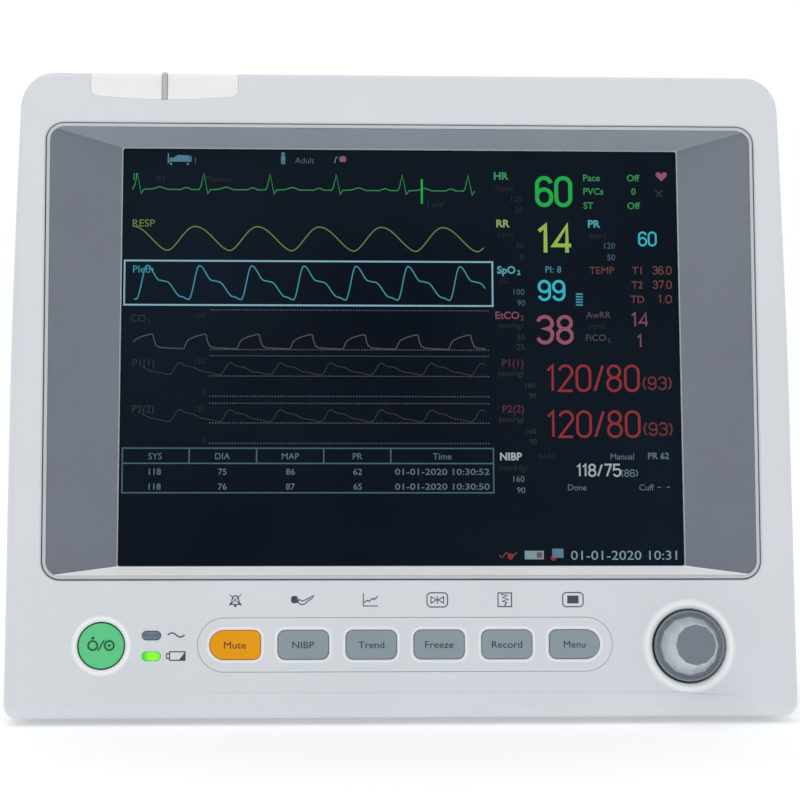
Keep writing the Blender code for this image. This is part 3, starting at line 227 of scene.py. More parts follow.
def crest_highlight(name, centre, inner, outer):
    """The bezel's own plastic on a ring, with a painted highlight along its crest and plain at both edges."""
    tree, shader = shader_of(name)
    shown = ramp(tree, away(tree, centre, inner, outer), (0.0, BEZEL), (0.5, BEZEL_CREST_HIGHLIGHT), (1.0, BEZEL))
    feed(tree, shown, shader, "Base Color")
    feed(tree, spread(tree, noise(tree, 400.0), 0.36, 0.46), shader, "Roughness")


def board(name):
    """Green solder mask with copper tracks showing faintly through it."""
    tree, shader = shader_of(name)
    tracks = node(tree, "ShaderNodeTexBrick", Scale=180.0)
    for key, value in {"Color1": (0.012, 0.13, 0.05, 1), "Color2": (0.016, 0.17, 0.07, 1),
                       "Mortar": (0.04, 0.24, 0.1, 1), "Mortar Size": 0.03}.items():
        tracks.inputs[key].default_value = value
    feed(tree, node(tree, "ShaderNodeTexCoord").outputs["Object"], tracks, "Vector")
    feed(tree, tracks.outputs["Color"], shader, "Base Color")
    feed(tree, spread(tree, noise(tree, 200.0), 0.3, 0.5), shader, "Roughness")


def display_glass(name):
    """Dark anti-glare window over a switched-on panel, with a faint cell pattern."""
    tree, shader = shader_of(name, Emission_Strength=0.55, Specular_IOR_Level=0.05)
    tint = ramp(tree, noise(tree, 9.0, 3.0), (0.3, (0.0012, 0.003, 0.0068)), (0.7, (0.0028, 0.0068, 0.0124)))
    feed(tree, tint, shader, "Base Color", "Emission Color")
    feed(tree, spread(tree, noise(tree, 1500.0), 0.3, 0.42), shader, "Roughness")


SURFACES = (  # name, colour, roughness, the rest as surface() takes it
    ("bezel", BEZEL, 0.42, dict(grain=0.0005, bump=0.000006, vary=0.012)),
    ("bezel_bright", (0.86, 0.88, 0.91), 0.38, dict(grain=0.0005, bump=0.000005, vary=0.012)),
    ("rear_shell", (0.68, 0.71, 0.75), 0.5, dict(grain=0.0007, bump=0.000016, vary=0.02)),
    ("mask", (0.185, 0.205, 0.245), 0.4, dict(metallic=0.25, grain=0.0004, bump=0.000006, flake=0.06)),
    # painted light: the recess's bottom wall is the walls' grey paint, coloured near white and given a little
    # glow for the light it catches from above
    ("mask_sill_painted_light", (0.92, 0.93, 0.95), 0.4, dict(grain=0.0004, bump=0.000005, vary=0.012, emission=0.08)),
    # painted light: the recess's top wall is the walls' grey paint, coloured lighter than the side walls for
    # how the light falls on it
    ("mask_top_painted_light", (0.275, 0.305, 0.355), 0.4, dict(metallic=0.2, grain=0.0004, bump=0.000006, flake=0.05)),
    ("mask_lip", (0.56, 0.59, 0.63), 0.36, dict(metallic=0.1, grain=0.0004, bump=0.000004, vary=0.01)),
    ("key", (0.262, 0.325, 0.365), 0.5, dict(grain=0.0004, bump=0.000008)),
    ("key_mute", (0.86, 0.345, 0.001), 0.5, dict(grain=0.0004, bump=0.000008, specular=0.2)),
    ("button_green", (0.11, 0.62, 0.25), 0.45, dict(grain=0.0004, bump=0.000008, vary=0.02)),
    ("button_dark", (0.005, 0.08, 0.034), 0.45, {}),
    ("knob", (0.2, 0.235, 0.275), 0.34, dict(metallic=0.25, grain=0.0004, bump=0.000005, coat=0.2)),
    # painted sheen: a lighter copy of the knob's colour for the grip's sloping facets, for the light they
    # catch
    ("knob_facet_painted_sheen", (0.6, 0.64, 0.69), 0.28, dict(metallic=0.1, grain=0.0004, bump=0.000004, coat=0.2)),
    ("lamp", (0.865, 0.86, 0.845), 0.3, dict(bump=0.000003, vary=0.006, rough_vary=0.01, emission=0.04)),
    # painted shade: a mid grey for the divider between the lamp's lenses, which is the bezel's white plastic
    ("lamp_rib", (0.5, 0.52, 0.53), 0.45, dict(grain=0.0005, bump=0.000005, vary=0.012)),
    ("led_slate", (0.125, 0.165, 0.235), 0.3, dict(coat=0.3)),
    ("print_slate", (0.04, 0.056, 0.09), 0.55, {}),
    ("print_key", (0.01, 0.016, 0.03), 0.55, {}),
    ("print_brown", (0.06, 0.024, 0.01), 0.55, {}),
    ("print_pale", (0.55, 0.6, 0.66), 0.55, {}),
    ("rubber", (0.022, 0.022, 0.024), 0.78, dict(grain=0.0005, bump=0.00003, vary=0.15)),
    ("dark_plastic", (0.03, 0.031, 0.035), 0.45, dict(bump=0.00002, vary=0.12)),
    ("steel", (0.56, 0.57, 0.58), 0.3, dict(metallic=1.0, grain=0.0003, bump=0.000004, stretch=(1, 1, 12))),
    ("aluminium", (0.6, 0.61, 0.63), 0.36, dict(metallic=1.0, grain=0.0003, bump=0.000006,
                                                stretch=(12, 1, 1))),
    ("anodised", (0.045, 0.047, 0.052), 0.42, dict(metallic=0.7, grain=0.0004, bump=0.000008, vary=0.1)),
    ("brass", (0.72, 0.54, 0.25), 0.28, dict(metallic=1.0, grain=0.0003, bump=0.000004)),
    ("gold_pin", (0.85, 0.62, 0.24), 0.22, dict(metallic=1.0)),
    ("paper", (0.87, 0.87, 0.84), 0.85, dict(grain=0.0004, bump=0.00002, stretch=(1, 8, 1))),
    ("battery", (0.055, 0.06, 0.07), 0.5, dict(bump=0.00002, vary=0.1)),
    ("label", (0.78, 0.79, 0.8), 0.4, dict(grain=0.002, bump=0.000003)),
    ("socket_green", (0.03, 0.24, 0.1), 0.35, dict(coat=0.15)),
    ("socket_blue", (0.02, 0.1, 0.38), 0.35, dict(coat=0.15)),
    ("socket_yellow", (0.6, 0.42, 0.03), 0.35, dict(coat=0.15)),
    ("socket_brown", (0.16, 0.08, 0.04), 0.35, dict(coat=0.15)),
    ("socket_red", (0.38, 0.02, 0.02), 0.35, dict(coat=0.15)),
    ("socket_grey", (0.33, 0.35, 0.38), 0.35, dict(coat=0.15)),
)

GLOWS = {
    "green": (0.014, 0.4, 0.065), "green_soft": (0.03, 0.245, 0.07), "green_mid": (0.045, 0.27, 0.09),
    "lime": (0.3, 0.48, 0.075), "lime_mid": (0.25, 0.36, 0.13), "lime_soft": (0.15, 0.205, 0.062),
    "cyan": (0.03, 0.47, 0.56), "cyan_mid": (0.075, 0.35, 0.41), "cyan_soft": (0.045, 0.285, 0.365),
    "cyan_pale": (0.23, 0.44, 0.53), "teal": (0.055, 0.115, 0.155), "white": (0.34, 0.42, 0.43),
    "white_soft": (0.115, 0.165, 0.195), "clock": (0.21, 0.31, 0.355), "pink": (0.29, 0.085, 0.135),
    "pink_mid": (0.19, 0.065, 0.1), "pink_soft": (0.09, 0.066, 0.088), "red": (0.27, 0.026, 0.03),
    "red_mid": (0.155, 0.028, 0.034), "red_soft": (0.08, 0.023, 0.032), "orange": (0.145, 0.052, 0.045),
    "faint": (0.016, 0.024, 0.032), "faint_red": (0.036, 0.031, 0.042), "dots": (0.105, 0.13, 0.15),
    "icon": (0.085, 0.205, 0.285),
}


def make_materials():
    for name, colour, rough, more in SURFACES:
        surface(name, colour, rough, **more)
    board("board")
    display_glass("display_glass")
    lit_pill("led_lit", PANEL @ Vector((LED_X + 0.0006, 0, LED_V["led_battery"])), (0.22, 0.8, 0.01),
             (0.03, 0.46, 0.03), 0.0036)
    for name, colour in GLOWS.items():
        glow("glow_" + name, colour)

# ---------------------------------------------------------------- mesh helpers


def outline(left, right, bottom, top, radii, steps=6):
    """A rounded rectangle, anticlockwise. radii: lower right, upper right, upper left, lower left."""
    corners = (
        (right - radii[0], bottom + radii[0], -90),
        (right - radii[1], top - radii[1], 0),
        (left + radii[2], top - radii[2], 90),
        (left + radii[3], bottom + radii[3], 180),
    )
    points = []
    for (u, v, start), radius in zip(corners, radii):
        for step in range(steps + 1):
            angle = math.radians(start + 90 * step / steps)
            points.append((u + radius * math.cos(angle), v + radius * math.sin(angle)))
    return points


def pill(u, v, half_w, half_h, grow=0.0, steps=8, radius=None):
    radius = (half_h if radius is None else radius) + grow
    return outline(u - half_w - grow, u + half_w + grow, v - half_h - grow, v + half_h + grow,
                   (max(radius, 1e-5),) * 4, steps)


def arc(u, v, radius, start, end, steps):
    turns = [math.radians(start + (end - start) * i / steps) for i in range(steps + 1)]
    return [(u + radius * math.cos(t), v + radius * math.sin(t)) for t in turns]


def level(points, depth):
    return [(u, depth, v) for u, v in points]


def skin(rings, caps=(True, True), loop=False):
    """Faces over rings of equally many points."""
    work = bmesh.new()
    rows = [[work.verts.new(point) for point in ring] for ring in rings]
    count = len(rows[0])
    for first, second in list(zip(rows, rows[1:])) + ([(rows[-1], rows[0])] if loop else []):
        for i in range(count):
            j = (i + 1) % count
            work.faces.new((first[i], first[j], second[j], second[i]))
    if caps[0] and not loop:
        work.faces.new(reversed(rows[0]))
    if caps[1] and not loop:
        work.faces.new(rows[-1])
    return settled(work)


def settled(work):
    bmesh.ops.remove_doubles(work, verts=work.verts, dist=2e-7)
    bmesh.ops.recalc_face_normals(work, faces=work.faces)
    return work


def lathe(profile, steps=48, ring=False):
    """A profile of (radius, height) turned about Z."""
    turns = [2 * math.pi * i / steps for i in range(steps)]
    rings = [[(max(r, 0) * math.cos(t), max(r, 0) * math.sin(t), h) for t in turns] for r, h in profile]
    return skin(rings, (profile[0][0] > 1e-6, profile[-1][0] > 1e-6), ring)


def rounded(profile, radius, steps=4):
    """The profile with each inner corner replaced by a short arc-like curve."""
    made = [profile[0]]
    for before, here, after in zip(profile, profile[1:], profile[2:]):
        a, b, c = Vector(before), Vector(here), Vector(after)
        cut = min(radius, (a - b).length * 0.45, (c - b).length * 0.45)
        start, end = b + (a - b).normalized() * cut, b + (c - b).normalized() * cut
        for i in range(steps + 1):
            t = i / steps
            made.append(tuple((1 - t) ** 2 * start + 2 * t * (1 - t) * b + t * t * end))
    made.append(profile[-1])
    return made


def slab(shape, near, far, fillet=0.0, crown=0.0, steps=5):
    """A plate in the panel frame with a filleted front edge. shape(grow) gives its outline."""
    rings = [level(shape(0.0), far)]
    for i in range(steps + 1):
        turn = math.pi / 2 * i / steps
        rings.append(level(shape(-fillet * (1 - math.cos(turn))), near + fillet * (1 - math.sin(turn))))
    if crown:
        inner = shape(-fillet)
        u, v = (sum(point[k] for point in inner) / len(inner) for k in (0, 1))
        for share in (0.75, 0.5, 0.25):
            rings.append(level([(u + (a - u) * share, v + (b - v) * share) for a, b in inner],
                               near - crown * (1 - share * share)))
    return skin(rings)


def block(low, high, radius=0.0, steps=3):
    """A box with rounded edges."""
    work = bmesh.new()
    low, high = Vector(low), Vector(high)
    bmesh.ops.create_cube(work, size=1.0,
                          matrix=Matrix.Translation((low + high) / 2) @ Matrix.Diagonal((*(high - low), 1)))
    return softened(work, radius, steps) if radius else work


def softened(work, radius, steps):
    bmesh.ops.bevel(work, geom=list(work.edges), offset=radius, segments=steps, affect="EDGES", profile=0.5)
    return work


def cone(sides, radius, far_radius, length, matrix):
    work = bmesh.new()
    bmesh.ops.create_cone(work, cap_ends=True, segments=sides, radius1=radius, radius2=far_radius,
                          depth=length, matrix=matrix)
    return work


def tile(points, near, far, along="Y"):
    """A flat outline (a, b) extruded along X, Y or Z."""
    spots = {"X": lambda a, b, t: (t, a, b),
             "Y": lambda a, b, t: (a, t, b),
             "Z": lambda a, b, t: (a, b, t)}[along]
    return skin([[spots(a, b, t) for a, b in points] for t in (near, far)])


def rod(start, end, radius, sides=24):
    start, end = Vector(start), Vector(end)
    turn = (end - start).to_track_quat("Z", "Y").to_matrix().to_4x4()
    return cone(sides, radius, radius, (end - start).length, Matrix.Translation((start + end) / 2) @ turn)


def merged(works):
    """One bmesh of several, made one after the other."""
    works = iter(works)
    whole = next(works)
    for other in works:
        mesh = bpy.data.meshes.new("part")
        other.to_mesh(mesh)
        other.free()
        whole.from_mesh(mesh)
        bpy.data.meshes.remove(mesh)
    return whole


def moved(work, matrix):
    work.transform(matrix)
    return work


def raw(name, work, matrix=None):
    mesh = bpy.data.meshes.new(name)
    work.to_mesh(mesh)
    work.free()
    if matrix:
        mesh.transform(matrix)
    obj = bpy.data.objects.new(name, mesh)
    bpy.context.scene.collection.objects.link(obj)
    return obj


def evaluated(obj):
    """obj with its modifiers made real."""
    bpy.context.view_layer.update()
    graph = bpy.context.evaluated_depsgraph_get()
    mesh = bpy.data.meshes.new_from_object(obj.evaluated_get(graph))
    obj.modifiers.clear()
    obj.data = mesh
    return obj


def carved(obj, works, operation="DIFFERENCE"):
    """obj with each of works cut from it, or joined to it."""
    tools = [work if isinstance(work, bpy.types.Object) else raw("tool", work) for work in works]
    for number, tool in enumerate(tools):
        modifier = obj.modifiers.new(f"cut_{number}", "BOOLEAN")
        modifier.operation, modifier.object, modifier.solver = operation, tool, "MANIFOLD"
    evaluated(obj)
    for tool in tools:
        bpy.data.objects.remove(tool, do_unlink=True)
    return obj


def show(obj, look, body, slot=None, sharp=32, stands_for="", bevel=0.0, weighted=True, segments=3):
    """Gives a piece its edges, shading, material and body."""
    if bevel:
        edges = obj.modifiers.new("edges", "BEVEL")
        edges.width, edges.segments, edges.limit_method = bevel, segments, "ANGLE"
        edges.angle_limit = math.radians(38)
        evaluated(obj)
    obj.data.shade_smooth()
    obj.data.set_sharp_from_angle(angle=math.radians(sharp))
    if weighted:
        obj.modifiers.new("normals", "WEIGHTED_NORMAL").keep_sharp = True
        evaluated(obj)
    obj.data.materials.clear()
    obj.data.materials.append(looks[look])
    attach(obj, body)
    if stands_for:
        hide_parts(stands_for)
    return obj


def piece(name, work, look, body="case", slot=None, panel=False, **more):
    return show(raw(name, work, PANEL if panel else None), look, body, slot, **more)


# ---------------------------------------------------------------- flat drawing, for prints and the display


class Drawing:
    """Flat shapes on the front, thin solids between two depths, gathered by colour."""

    def __init__(self, near, far):
        self.near, self.far, self.groups = near, far, {}

    def work(self, colour):
        return self.groups.setdefault(colour, bmesh.new())

    def fill(self, colour, points):
        self.groups[colour] = merged((self.work(colour), tile(points, self.near, self.far)))

    def line(self, colour, points, width, closed=False):
        """A stroke along points, mitred at its corners."""
        points = [Vector(p) for p in points]
        points = points[:1] + [b for a, b in zip(points, points[1:]) if (b - a).length > 1e-6]
        count = len(points)
        sides = []
        for i, here in enumerate(points):
            ways = [(here - points[i - 1]).normalized()] if i or closed else []
            if i < count - 1 or closed:
                ways.append((points[(i + 1) % count] - here).normalized())
            way = sum(ways, Vector((0, 0))).normalized() if len(ways) == 2 else ways[0]
            normal = Vector((-way.y, way.x))
            stretch = 1.0
            if len(ways) == 2:
                stretch = 1 / max(abs(normal.dot(Vector((-ways[0].y, ways[0].x)))), 0.5)
            sides.append((here + normal * width / 2 * stretch, here - normal * width / 2 * stretch))
        work = self.work(colour)
        depths = (self.near, self.far)
        rows = [[work.verts.new((p.x, d, p.y)) for d in depths for p in pair] for pair in sides]
        for a, b in list(zip(rows, rows[1:])) + ([(rows[-1], rows[0])] if closed else []):
            for i, j in ((0, 1), (1, 3), (3, 2), (2, 0)):
                work.faces.new((a[i], a[j], b[j], b[i]))
        if not closed:
            work.faces.new([rows[0][k] for k in (0, 2, 3, 1)])
            work.faces.new([rows[-1][k] for k in (0, 1, 3, 2)])

    def words(self, colour, text, u, v, height, squeeze=1.0, bold=0.0, align="CENTER"):
        """Lettering whose capitals are height tall, centred on v."""
        scale = height / CAPITAL
        curve = bpy.data.curves.new("words", "FONT")
        curve.body, curve.resolution_u, curve.offset = text, 3, bold
        curve.extrude = (self.far - self.near) / 2 / scale
        helper = bpy.data.objects.new("words", curve)
        bpy.context.scene.collection.objects.link(helper)
        bpy.context.view_layer.update()
        mesh = bpy.data.meshes.new_from_object(helper.evaluated_get(bpy.context.evaluated_depsgraph_get()))
        bpy.data.objects.remove(helper, do_unlink=True)
        xs = [p.co.x for p in mesh.vertices]
        width = (max(xs) - min(xs)) * scale * squeeze
        left = {"CENTER": u - width / 2, "LEFT": u}[align]
        low, middle = min(xs), (self.near + self.far) / 2
        for point in mesh.vertices:
            x, y, z = point.co
            point.co = (left + (x - low) * scale * squeeze, middle - z * scale, v - height / 2 + y * scale)
        self.work(colour).from_mesh(mesh)
        bpy.data.meshes.remove(mesh)

    def digits(self, colour, text, u, v, tall, wide, weight):
        """Condensed round-cornered figures drawn as strokes: tall by wide over all, centred on u, v."""
        spans = [FIGURE_WIDTHS.get(c, 1.0) for c in text]
        unit = (wide - weight) / (sum(spans) + FIGURE_GAP * (len(text) - 1))
        x, y, height = u - (wide - weight) / 2, v - (tall - weight) / 2, tall - weight
        for c, span in zip(text, spans):
            for path, closed in figure(c, unit * span, height):
                self.line(colour, [(x + a, y + b) for a, b in path], weight, closed)
            x += unit * (span + FIGURE_GAP)

    def pieces(self, prefix, body, material):
        for colour, work in self.groups.items():
            piece(f"{prefix}_{colour}", settled(work), material(colour), body, panel=True, weighted=False)

    def inked(self, name, look, body, slot, place):
        """The drawing as one piece away from the front."""
        (work,) = self.groups.values()
        piece(name, moved(settled(work), place), look, body, slot, weighted=False)


CAPITAL = 0.73  # height of the font's capitals
FIGURE_WIDTHS, FIGURE_GAP = {"1": 0.5, "/": 0.62, ".": 0.1, "(": 0.3, ")": 0.3}, 0.36


def figure(c, w, h):
    """Strokes of one figure in a box w by h, as (points, closed)."""
    r = w / 2
    over, under = arc(r, h - r, r, 0, 180, 12), arc(r, r, r, 180, 360, 12)
    if c == "0":
        return [(over + under, True)]
    if c in "69":
        bowl = 0.58 * h - r
        made = [(arc(r, bowl, r, 0, 180, 12) + under, True),
                (arc(r, h - r, r, 15, 180, 12) + [(0, r)], False)]
        return made if c == "6" else [([(w - a, h - b) for a, b in path], closed) for path, closed in made]
    if c == "8":
        small, waist = r * 0.9, 0.53 * h
        return [(arc(r, waist - r, r, 0, 180, 12) + under, True),
                (arc(r, h - small, small, 0, 180, 12) + arc(r, waist + small, small, 180, 360, 12), True)]
    hook = arc(r, r, r, 0, -160, 12)
    if c == "3":
        return [(arc(r, h - r, r, 160, 0, 12) + [(w, 0.68 * h), (w * 0.86, 0.57 * h), (w * 0.45, 0.535 * h),
                 (w * 0.88, 0.49 * h), (w, 0.4 * h)] + hook, False)]
    if c == "5":
        return [([(w * 0.95, h), (w * 0.1, h), (w * 0.04, 0.55 * h), (w * 0.25, 0.6 * h), (w * 0.7, 0.6 * h),
                  (w, 0.5 * h)] + hook, False)]
    if c == "2":
        return [(arc(r, h - r, r, 165, -20, 12) + [(0, 0), (w, 0)], False)]
    straight = {"1": ((0, 0.8), (0.75, 1), (0.75, 0)), "4": ((0.76, 0), (0.76, 1), (0, 0.27), (1, 0.27)),
                "7": ((0, 1), (1, 1), (0.35, 0)), "/": ((0, 0), (1, 1)), ".": ((0, 0), (1, 0)),
                "(": ((1, 1), (0.15, 0.72), (0, 0.5), (0.15, 0.28), (1, 0)),
                ")": ((0, 1), (0.85, 0.72), (1, 0.5), (0.85, 0.28), (0, 0))}
    return [([(a * w, b * h) for a, b in straight[c]], False)]


# ---------------------------------------------------------------- front housing


def flare(v):
    rise = min(max((v - FLARE_FULL_BELOW) / (FACE_HEIGHT - FLARE_FULL_BELOW), 0), 1)
    return FLARE + (FLARE_AT_TOP - FLARE) * rise**1.5


def face_points():
    """Edge of the flat face with its outward direction."""
    side_stops = [i / 14 for i in range(1, 14)]
    bottom, top = BOTTOM_ROLL, FACE_HEIGHT - TOP_ROUND
    corners = (
        (FACE_HALF - FACE_BOTTOM_RADIUS, bottom + FACE_BOTTOM_RADIUS, FACE_BOTTOM_RADIUS, -90, 6),
        (FACE_HALF - FACE_TOP_RADIUS, top - FACE_TOP_RADIUS, FACE_TOP_RADIUS, 0, 14),
    )
    right = []
    for u, v, radius, start, steps in corners:
        if right:
            low = right[-1][0][1]
            right += [((FACE_HALF, low + (v - low) * stop), (1.0, 0.0)) for stop in side_stops]
        for step in range(steps + 1):
            angle = math.radians(start + 90 * step / steps)
            way = (math.cos(angle), math.sin(angle))
            right.append(((u + radius * way[0], v + radius * way[1]), way))
    left = [((-u, v), (-a, b)) for (u, v), (a, b) in reversed(right)]
    return right + left


def front_ring(turn, depth=None, inset=0.0):
    """One ring of the housing: turn runs from 0 on the face to 1 on the side, then depth goes back."""
    angle = turn * math.pi / 2
    ring = []
    for (u, v), (a, b) in face_points():
        below = b * b if b < 0 else 0.0
        above = b * b if b > 0 else 0.0
        reach = flare(v) * a * a + TOP_ROUND * above + BOTTOM_ROLL * below
        back = (0.002 + 1.2 * flare(v)) * a * a + TOP_ROUND * above + BOTTOM_ROLL * below
        went = back * (1 - math.cos(angle)) if depth is None else depth
        out = reach * math.sin(angle) - inset
        ring.append((u + a * out, went, v + b * out + went * math.tan(LEAN) * below))
    return ring


def front_solid():
    turns = [i / 9 for i in range(10)]
    rings = [front_ring(turn) for turn in turns]
    rings += [front_ring(1.0, depth) for depth in (0.012, PARTING_DEPTH)]
    return skin(rings)


def aperture(grow, steps=9):
    """The display opening, a little wider at its top, with rounded corners."""
    radius = max(APERTURE_RADIUS + grow, 0.0005)
    shaped = []
    for u, v in outline(-APERTURE_HALF_BOTTOM, APERTURE_HALF_BOTTOM, APERTURE_BOTTOM - grow,
                        APERTURE_TOP + grow, (radius,) * 4, steps):
        wider = APERTURE_HALF_TOP - APERTURE_HALF_BOTTOM
        half = wider * (v - APERTURE_BOTTOM) / (APERTURE_TOP - APERTURE_BOTTOM)
        shaped.append((math.copysign(abs(u) + half + grow, u), v))
    return shaped


def surround(grow, steps=12):
    return pill(SURROUND_X, KEY_ROW_V, SURROUND_HALF, SURROUND_RADIUS, grow, steps)


def key_outline(index, grow, steps=6):
    x = key_x(index)
    square, full = max(KEY_RADIUS + grow, 1e-4), KEY_HALF_H + grow
    right = full if index == len(KEYS) - 1 else square
    left = full if index == 0 else square
    return outline(x - KEY_HALF_W - grow, x + KEY_HALF_W + grow, KEY_ROW_V - full, KEY_ROW_V + full,
                   (right, right, left, left), steps)


def key_x(index):
    return KEY_ROW_X + (index - (len(KEYS) - 1) / 2) * KEY_PITCH


def mouth(shape, fillet, deep=0.012, steps=4):
    """A cutter whose mouth flares at the face, so that the edge it leaves is rounded."""
    rings = [level(shape(fillet), -0.004)]
    for i in range(steps + 1):
        rise = math.sin(math.pi / 2 * i / steps)
        rings.append(level(shape(fillet * (1 - rise)), fillet * rise))
    return skin([*rings, level(shape(0.0), deep)])


def disc(u, v, radius, steps=72):
    return lambda grow: [(u + (radius + grow) * math.cos(t), v + (radius + grow) * math.sin(t))
                         for t in [2 * math.pi * i / steps for i in range(steps)]]


def lamp_polygon(left, right, grow):
    """Front outline of the alarm lamp: a gently bowed lower edge, softened at its outer ends, open above."""
    middle, half = (LAMP_LEFT + LAMP_RIGHT) / 2, (LAMP_RIGHT - LAMP_LEFT) / 2
    points = []
    for i in range(31):
        u = left + (right - left) * i / 30
        share = min(abs(u - middle) / half, 1)
        end = max(half - abs(u - middle), 0)
        lift = 0.0
        if end < LAMP_CORNER:
            lift = LAMP_CORNER * (1 - math.sqrt(max(1 - ((LAMP_CORNER - end) / LAMP_CORNER) ** 2, 0)))
        points.append((u, LAMP_MIDDLE_V + (LAMP_END_V - LAMP_MIDDLE_V) * share**2 + lift - grow))
    points[0] = (left - grow, points[0][1])
    points[-1] = (right + grow, points[-1][1])
    return points + [(right + grow, FAR), (left - grow, FAR)]


def foot_pocket(side, y):
    return tile(pill(side * FOOT_X, y, *FOOT_SIZE, SLIDE_GAP), -0.01, BASE_Z + 0.0012, "Z")


def front_housing():
    shell = raw("front_shell", front_solid())
    lip = PARTING_DEPTH - RIM_DEPTH
    inner = ((WALL, WALL + 0.0014), (WALL + 0.003, WALL), (lip, WALL), (lip + 0.0001, WALL + RIM_INWARD),
             (PARTING_DEPTH + 0.01, WALL + RIM_INWARD))
    carved(shell, [
        skin([front_ring(1.0, depth, inset) for depth, inset in inner]),
        mouth(aperture, 0.0006),
        mouth(surround, 0.00025),
        mouth(disc(POWER_X, POWER_V, POWER_RADIUS + 0.0004), 0.0003),
        mouth(disc(KNOB_X, KNOB_V, KNOB_HOLE - 0.0002), 0.00015),
        tile(lamp_polygon(LAMP_LEFT, LAMP_RIGHT, 0.00006), -0.01, LAMP_REACH + GAP),
        *(mouth(lambda g, v=v: pill(LED_X, v, LED_HALF_W, LED_HALF_H, 0.00015 + g), 0.0002)
          for v in LED_V.values()),
    ])
    shell.data.transform(PANEL)
    carved(shell, [foot_pocket(side, FOOT_ROWS["front"]) for side in (-1, 1)])
    show(shell, "bezel", "case", "bezel_white", sharp=30, stands_for="front_housing")
    lower_lip()
    rings_on_face()
    lamp()


def lower_lip():
    """A shallow swelling along the foot of the face, with a crisp upper edge that fades out at the left."""
    section = ((0.0, 0.0), (0.1, 0.5), (0.35, 0.85), (0.8, 1.0), (2.0, 0.95), (3.6, 0.6), (5.0, 0.15),
               (5.6, -0.5))
    stops = [(-0.0775, 0.0122, 0.0), (-0.075, 0.0114, 0.35), (-0.072, 0.0103, 0.75), (-0.069, 0.0098, 1.0)]
    stops += [(-0.069 + (0.1005 + 0.069) * i / 12, 0.0097, 1.0) for i in range(1, 13)]
    stops += [(0.11, 0.0092, 0.9), (0.12, 0.0085, 0.5), (0.129, 0.008, 0.0)]
    rings = []
    for u, top, rise in stops:
        ring = [(u, -0.00058 * rise * height + 0.00003, top - down * 0.001) for down, height in section]
        ring += [(u, 0.0012, top - 0.0056), (u, 0.0012, top)]
        rings.append(ring)
    piece("front_lower_lip", skin(rings), "bezel", slot="bezel_white", panel=True, sharp=60)


def rings_on_face():
    """The raised rings round the knob and the power button, melting into the face."""
    for name, u, v, inner, top_in, top_out, outer, proud in (
            ("knob_rim", KNOB_X, KNOB_V, 0.0136, 0.015, 0.016, 0.0176, 0.0011),
            ("power_rim", POWER_X, POWER_V, 0.0087, 0.0095, 0.0102, 0.0114, 0.0008)):
        profile = [(inner, 0.002), (inner, -proud * 0.4), (inner + (top_in - inner) * 0.35, -proud * 0.85),
                   (top_in, -proud), ((top_in + top_out) / 2, -proud * 1.04), (top_out, -proud * 0.94)]
        for share in [i / 6 for i in range(1, 7)]:
            drop = 0.5 + 0.5 * math.cos(math.pi * share)
            profile.append((top_out + (outer - top_out) * share, -proud * 0.94 * drop + 0.00002))
        work = turned([*profile, (outer, 0.002)], (u, 0, v), "rear", 96, ring=True)
        # the ring's colour holds a painted highlight along its crest
        crest_highlight(name, PANEL @ Vector((u, 0, v)), inner, outer)
        piece(name, work, name, slot="bezel_white", panel=True, sharp=50)


def lamp():
    """Cream lenses that fill the notch and carry on the housing's own rounding, with a rib between them."""
    seam = DIVIDER_HALF + 0.00004
    for name, left, right in (("alarm_lamp_left", LAMP_LEFT, LAMP_SPLIT - seam),
                              ("alarm_lamp_right", LAMP_SPLIT + seam, LAMP_RIGHT)):
        lens = raw(name + "_lens", front_solid())
        carved(lens, [tile(lamp_polygon(left, right, 0.0), -0.01, LAMP_REACH)], "INTERSECT")
        lens.data.transform(PANEL)
        show(lens, "lamp", "case", "lamp_cream", sharp=40, stands_for=name, bevel=0.00018)
    foot, under = LAMP_MIDDLE_V - 0.0001, 0.2392
    points = [(0.0012, foot), (-0.0003, foot), (-0.0009, 0.235), (-0.0011, 0.2385), (-0.0009, 0.2412),
              (0.0002, 0.243), (0.002, 0.2435), (0.012, 0.2435), (LAMP_REACH, 0.2433), (LAMP_REACH, under),
              (0.003, under), (0.003, foot)]
    half = DIVIDER_HALF * 0.92
    # the rib's grey colour is painted shade on the white divider
    piece("lamp_rib", tile(points, LAMP_SPLIT - half, LAMP_SPLIT + half, "X"), "lamp_rib", slot="bezel_white",
          panel=True, stands_for="alarm_lamp_divider", bevel=0.0006, sharp=50)


# ---------------------------------------------------------------- display mask and window


def opening(half_low, half_high, bottom, top, depth, radius):
    points = []
    for u, v in outline(-half_low, half_low, bottom, top, (radius,) * 4, 5):
        share = (v - bottom) / (top - bottom)
        points.append((math.copysign(abs(u) + (half_high - half_low) * share, u), depth, v))
    return points


def wall_ring(depth, radius):
    """The mask's sloping walls at a depth: from the aperture at the front to the screen at the back."""
    share = (SCREEN_DEPTH - depth) / (SCREEN_DEPTH - 0.0004)
    low = (SCREEN_HALF, SCREEN_HALF, SCREEN_BOTTOM, SCREEN_TOP)
    inner = 0.0017
    high = (APERTURE_HALF_BOTTOM - inner, APERTURE_HALF_TOP - inner, APERTURE_BOTTOM + inner,
            APERTURE_TOP - inner)
    return opening(*(a + (b - a) * share for a, b in zip(low, high)), depth, radius)


def screen_ring(grow, depth, radius):
    half = SCREEN_HALF + grow
    return opening(half, half, SCREEN_BOTTOM - grow, SCREEN_TOP + grow, depth, radius)


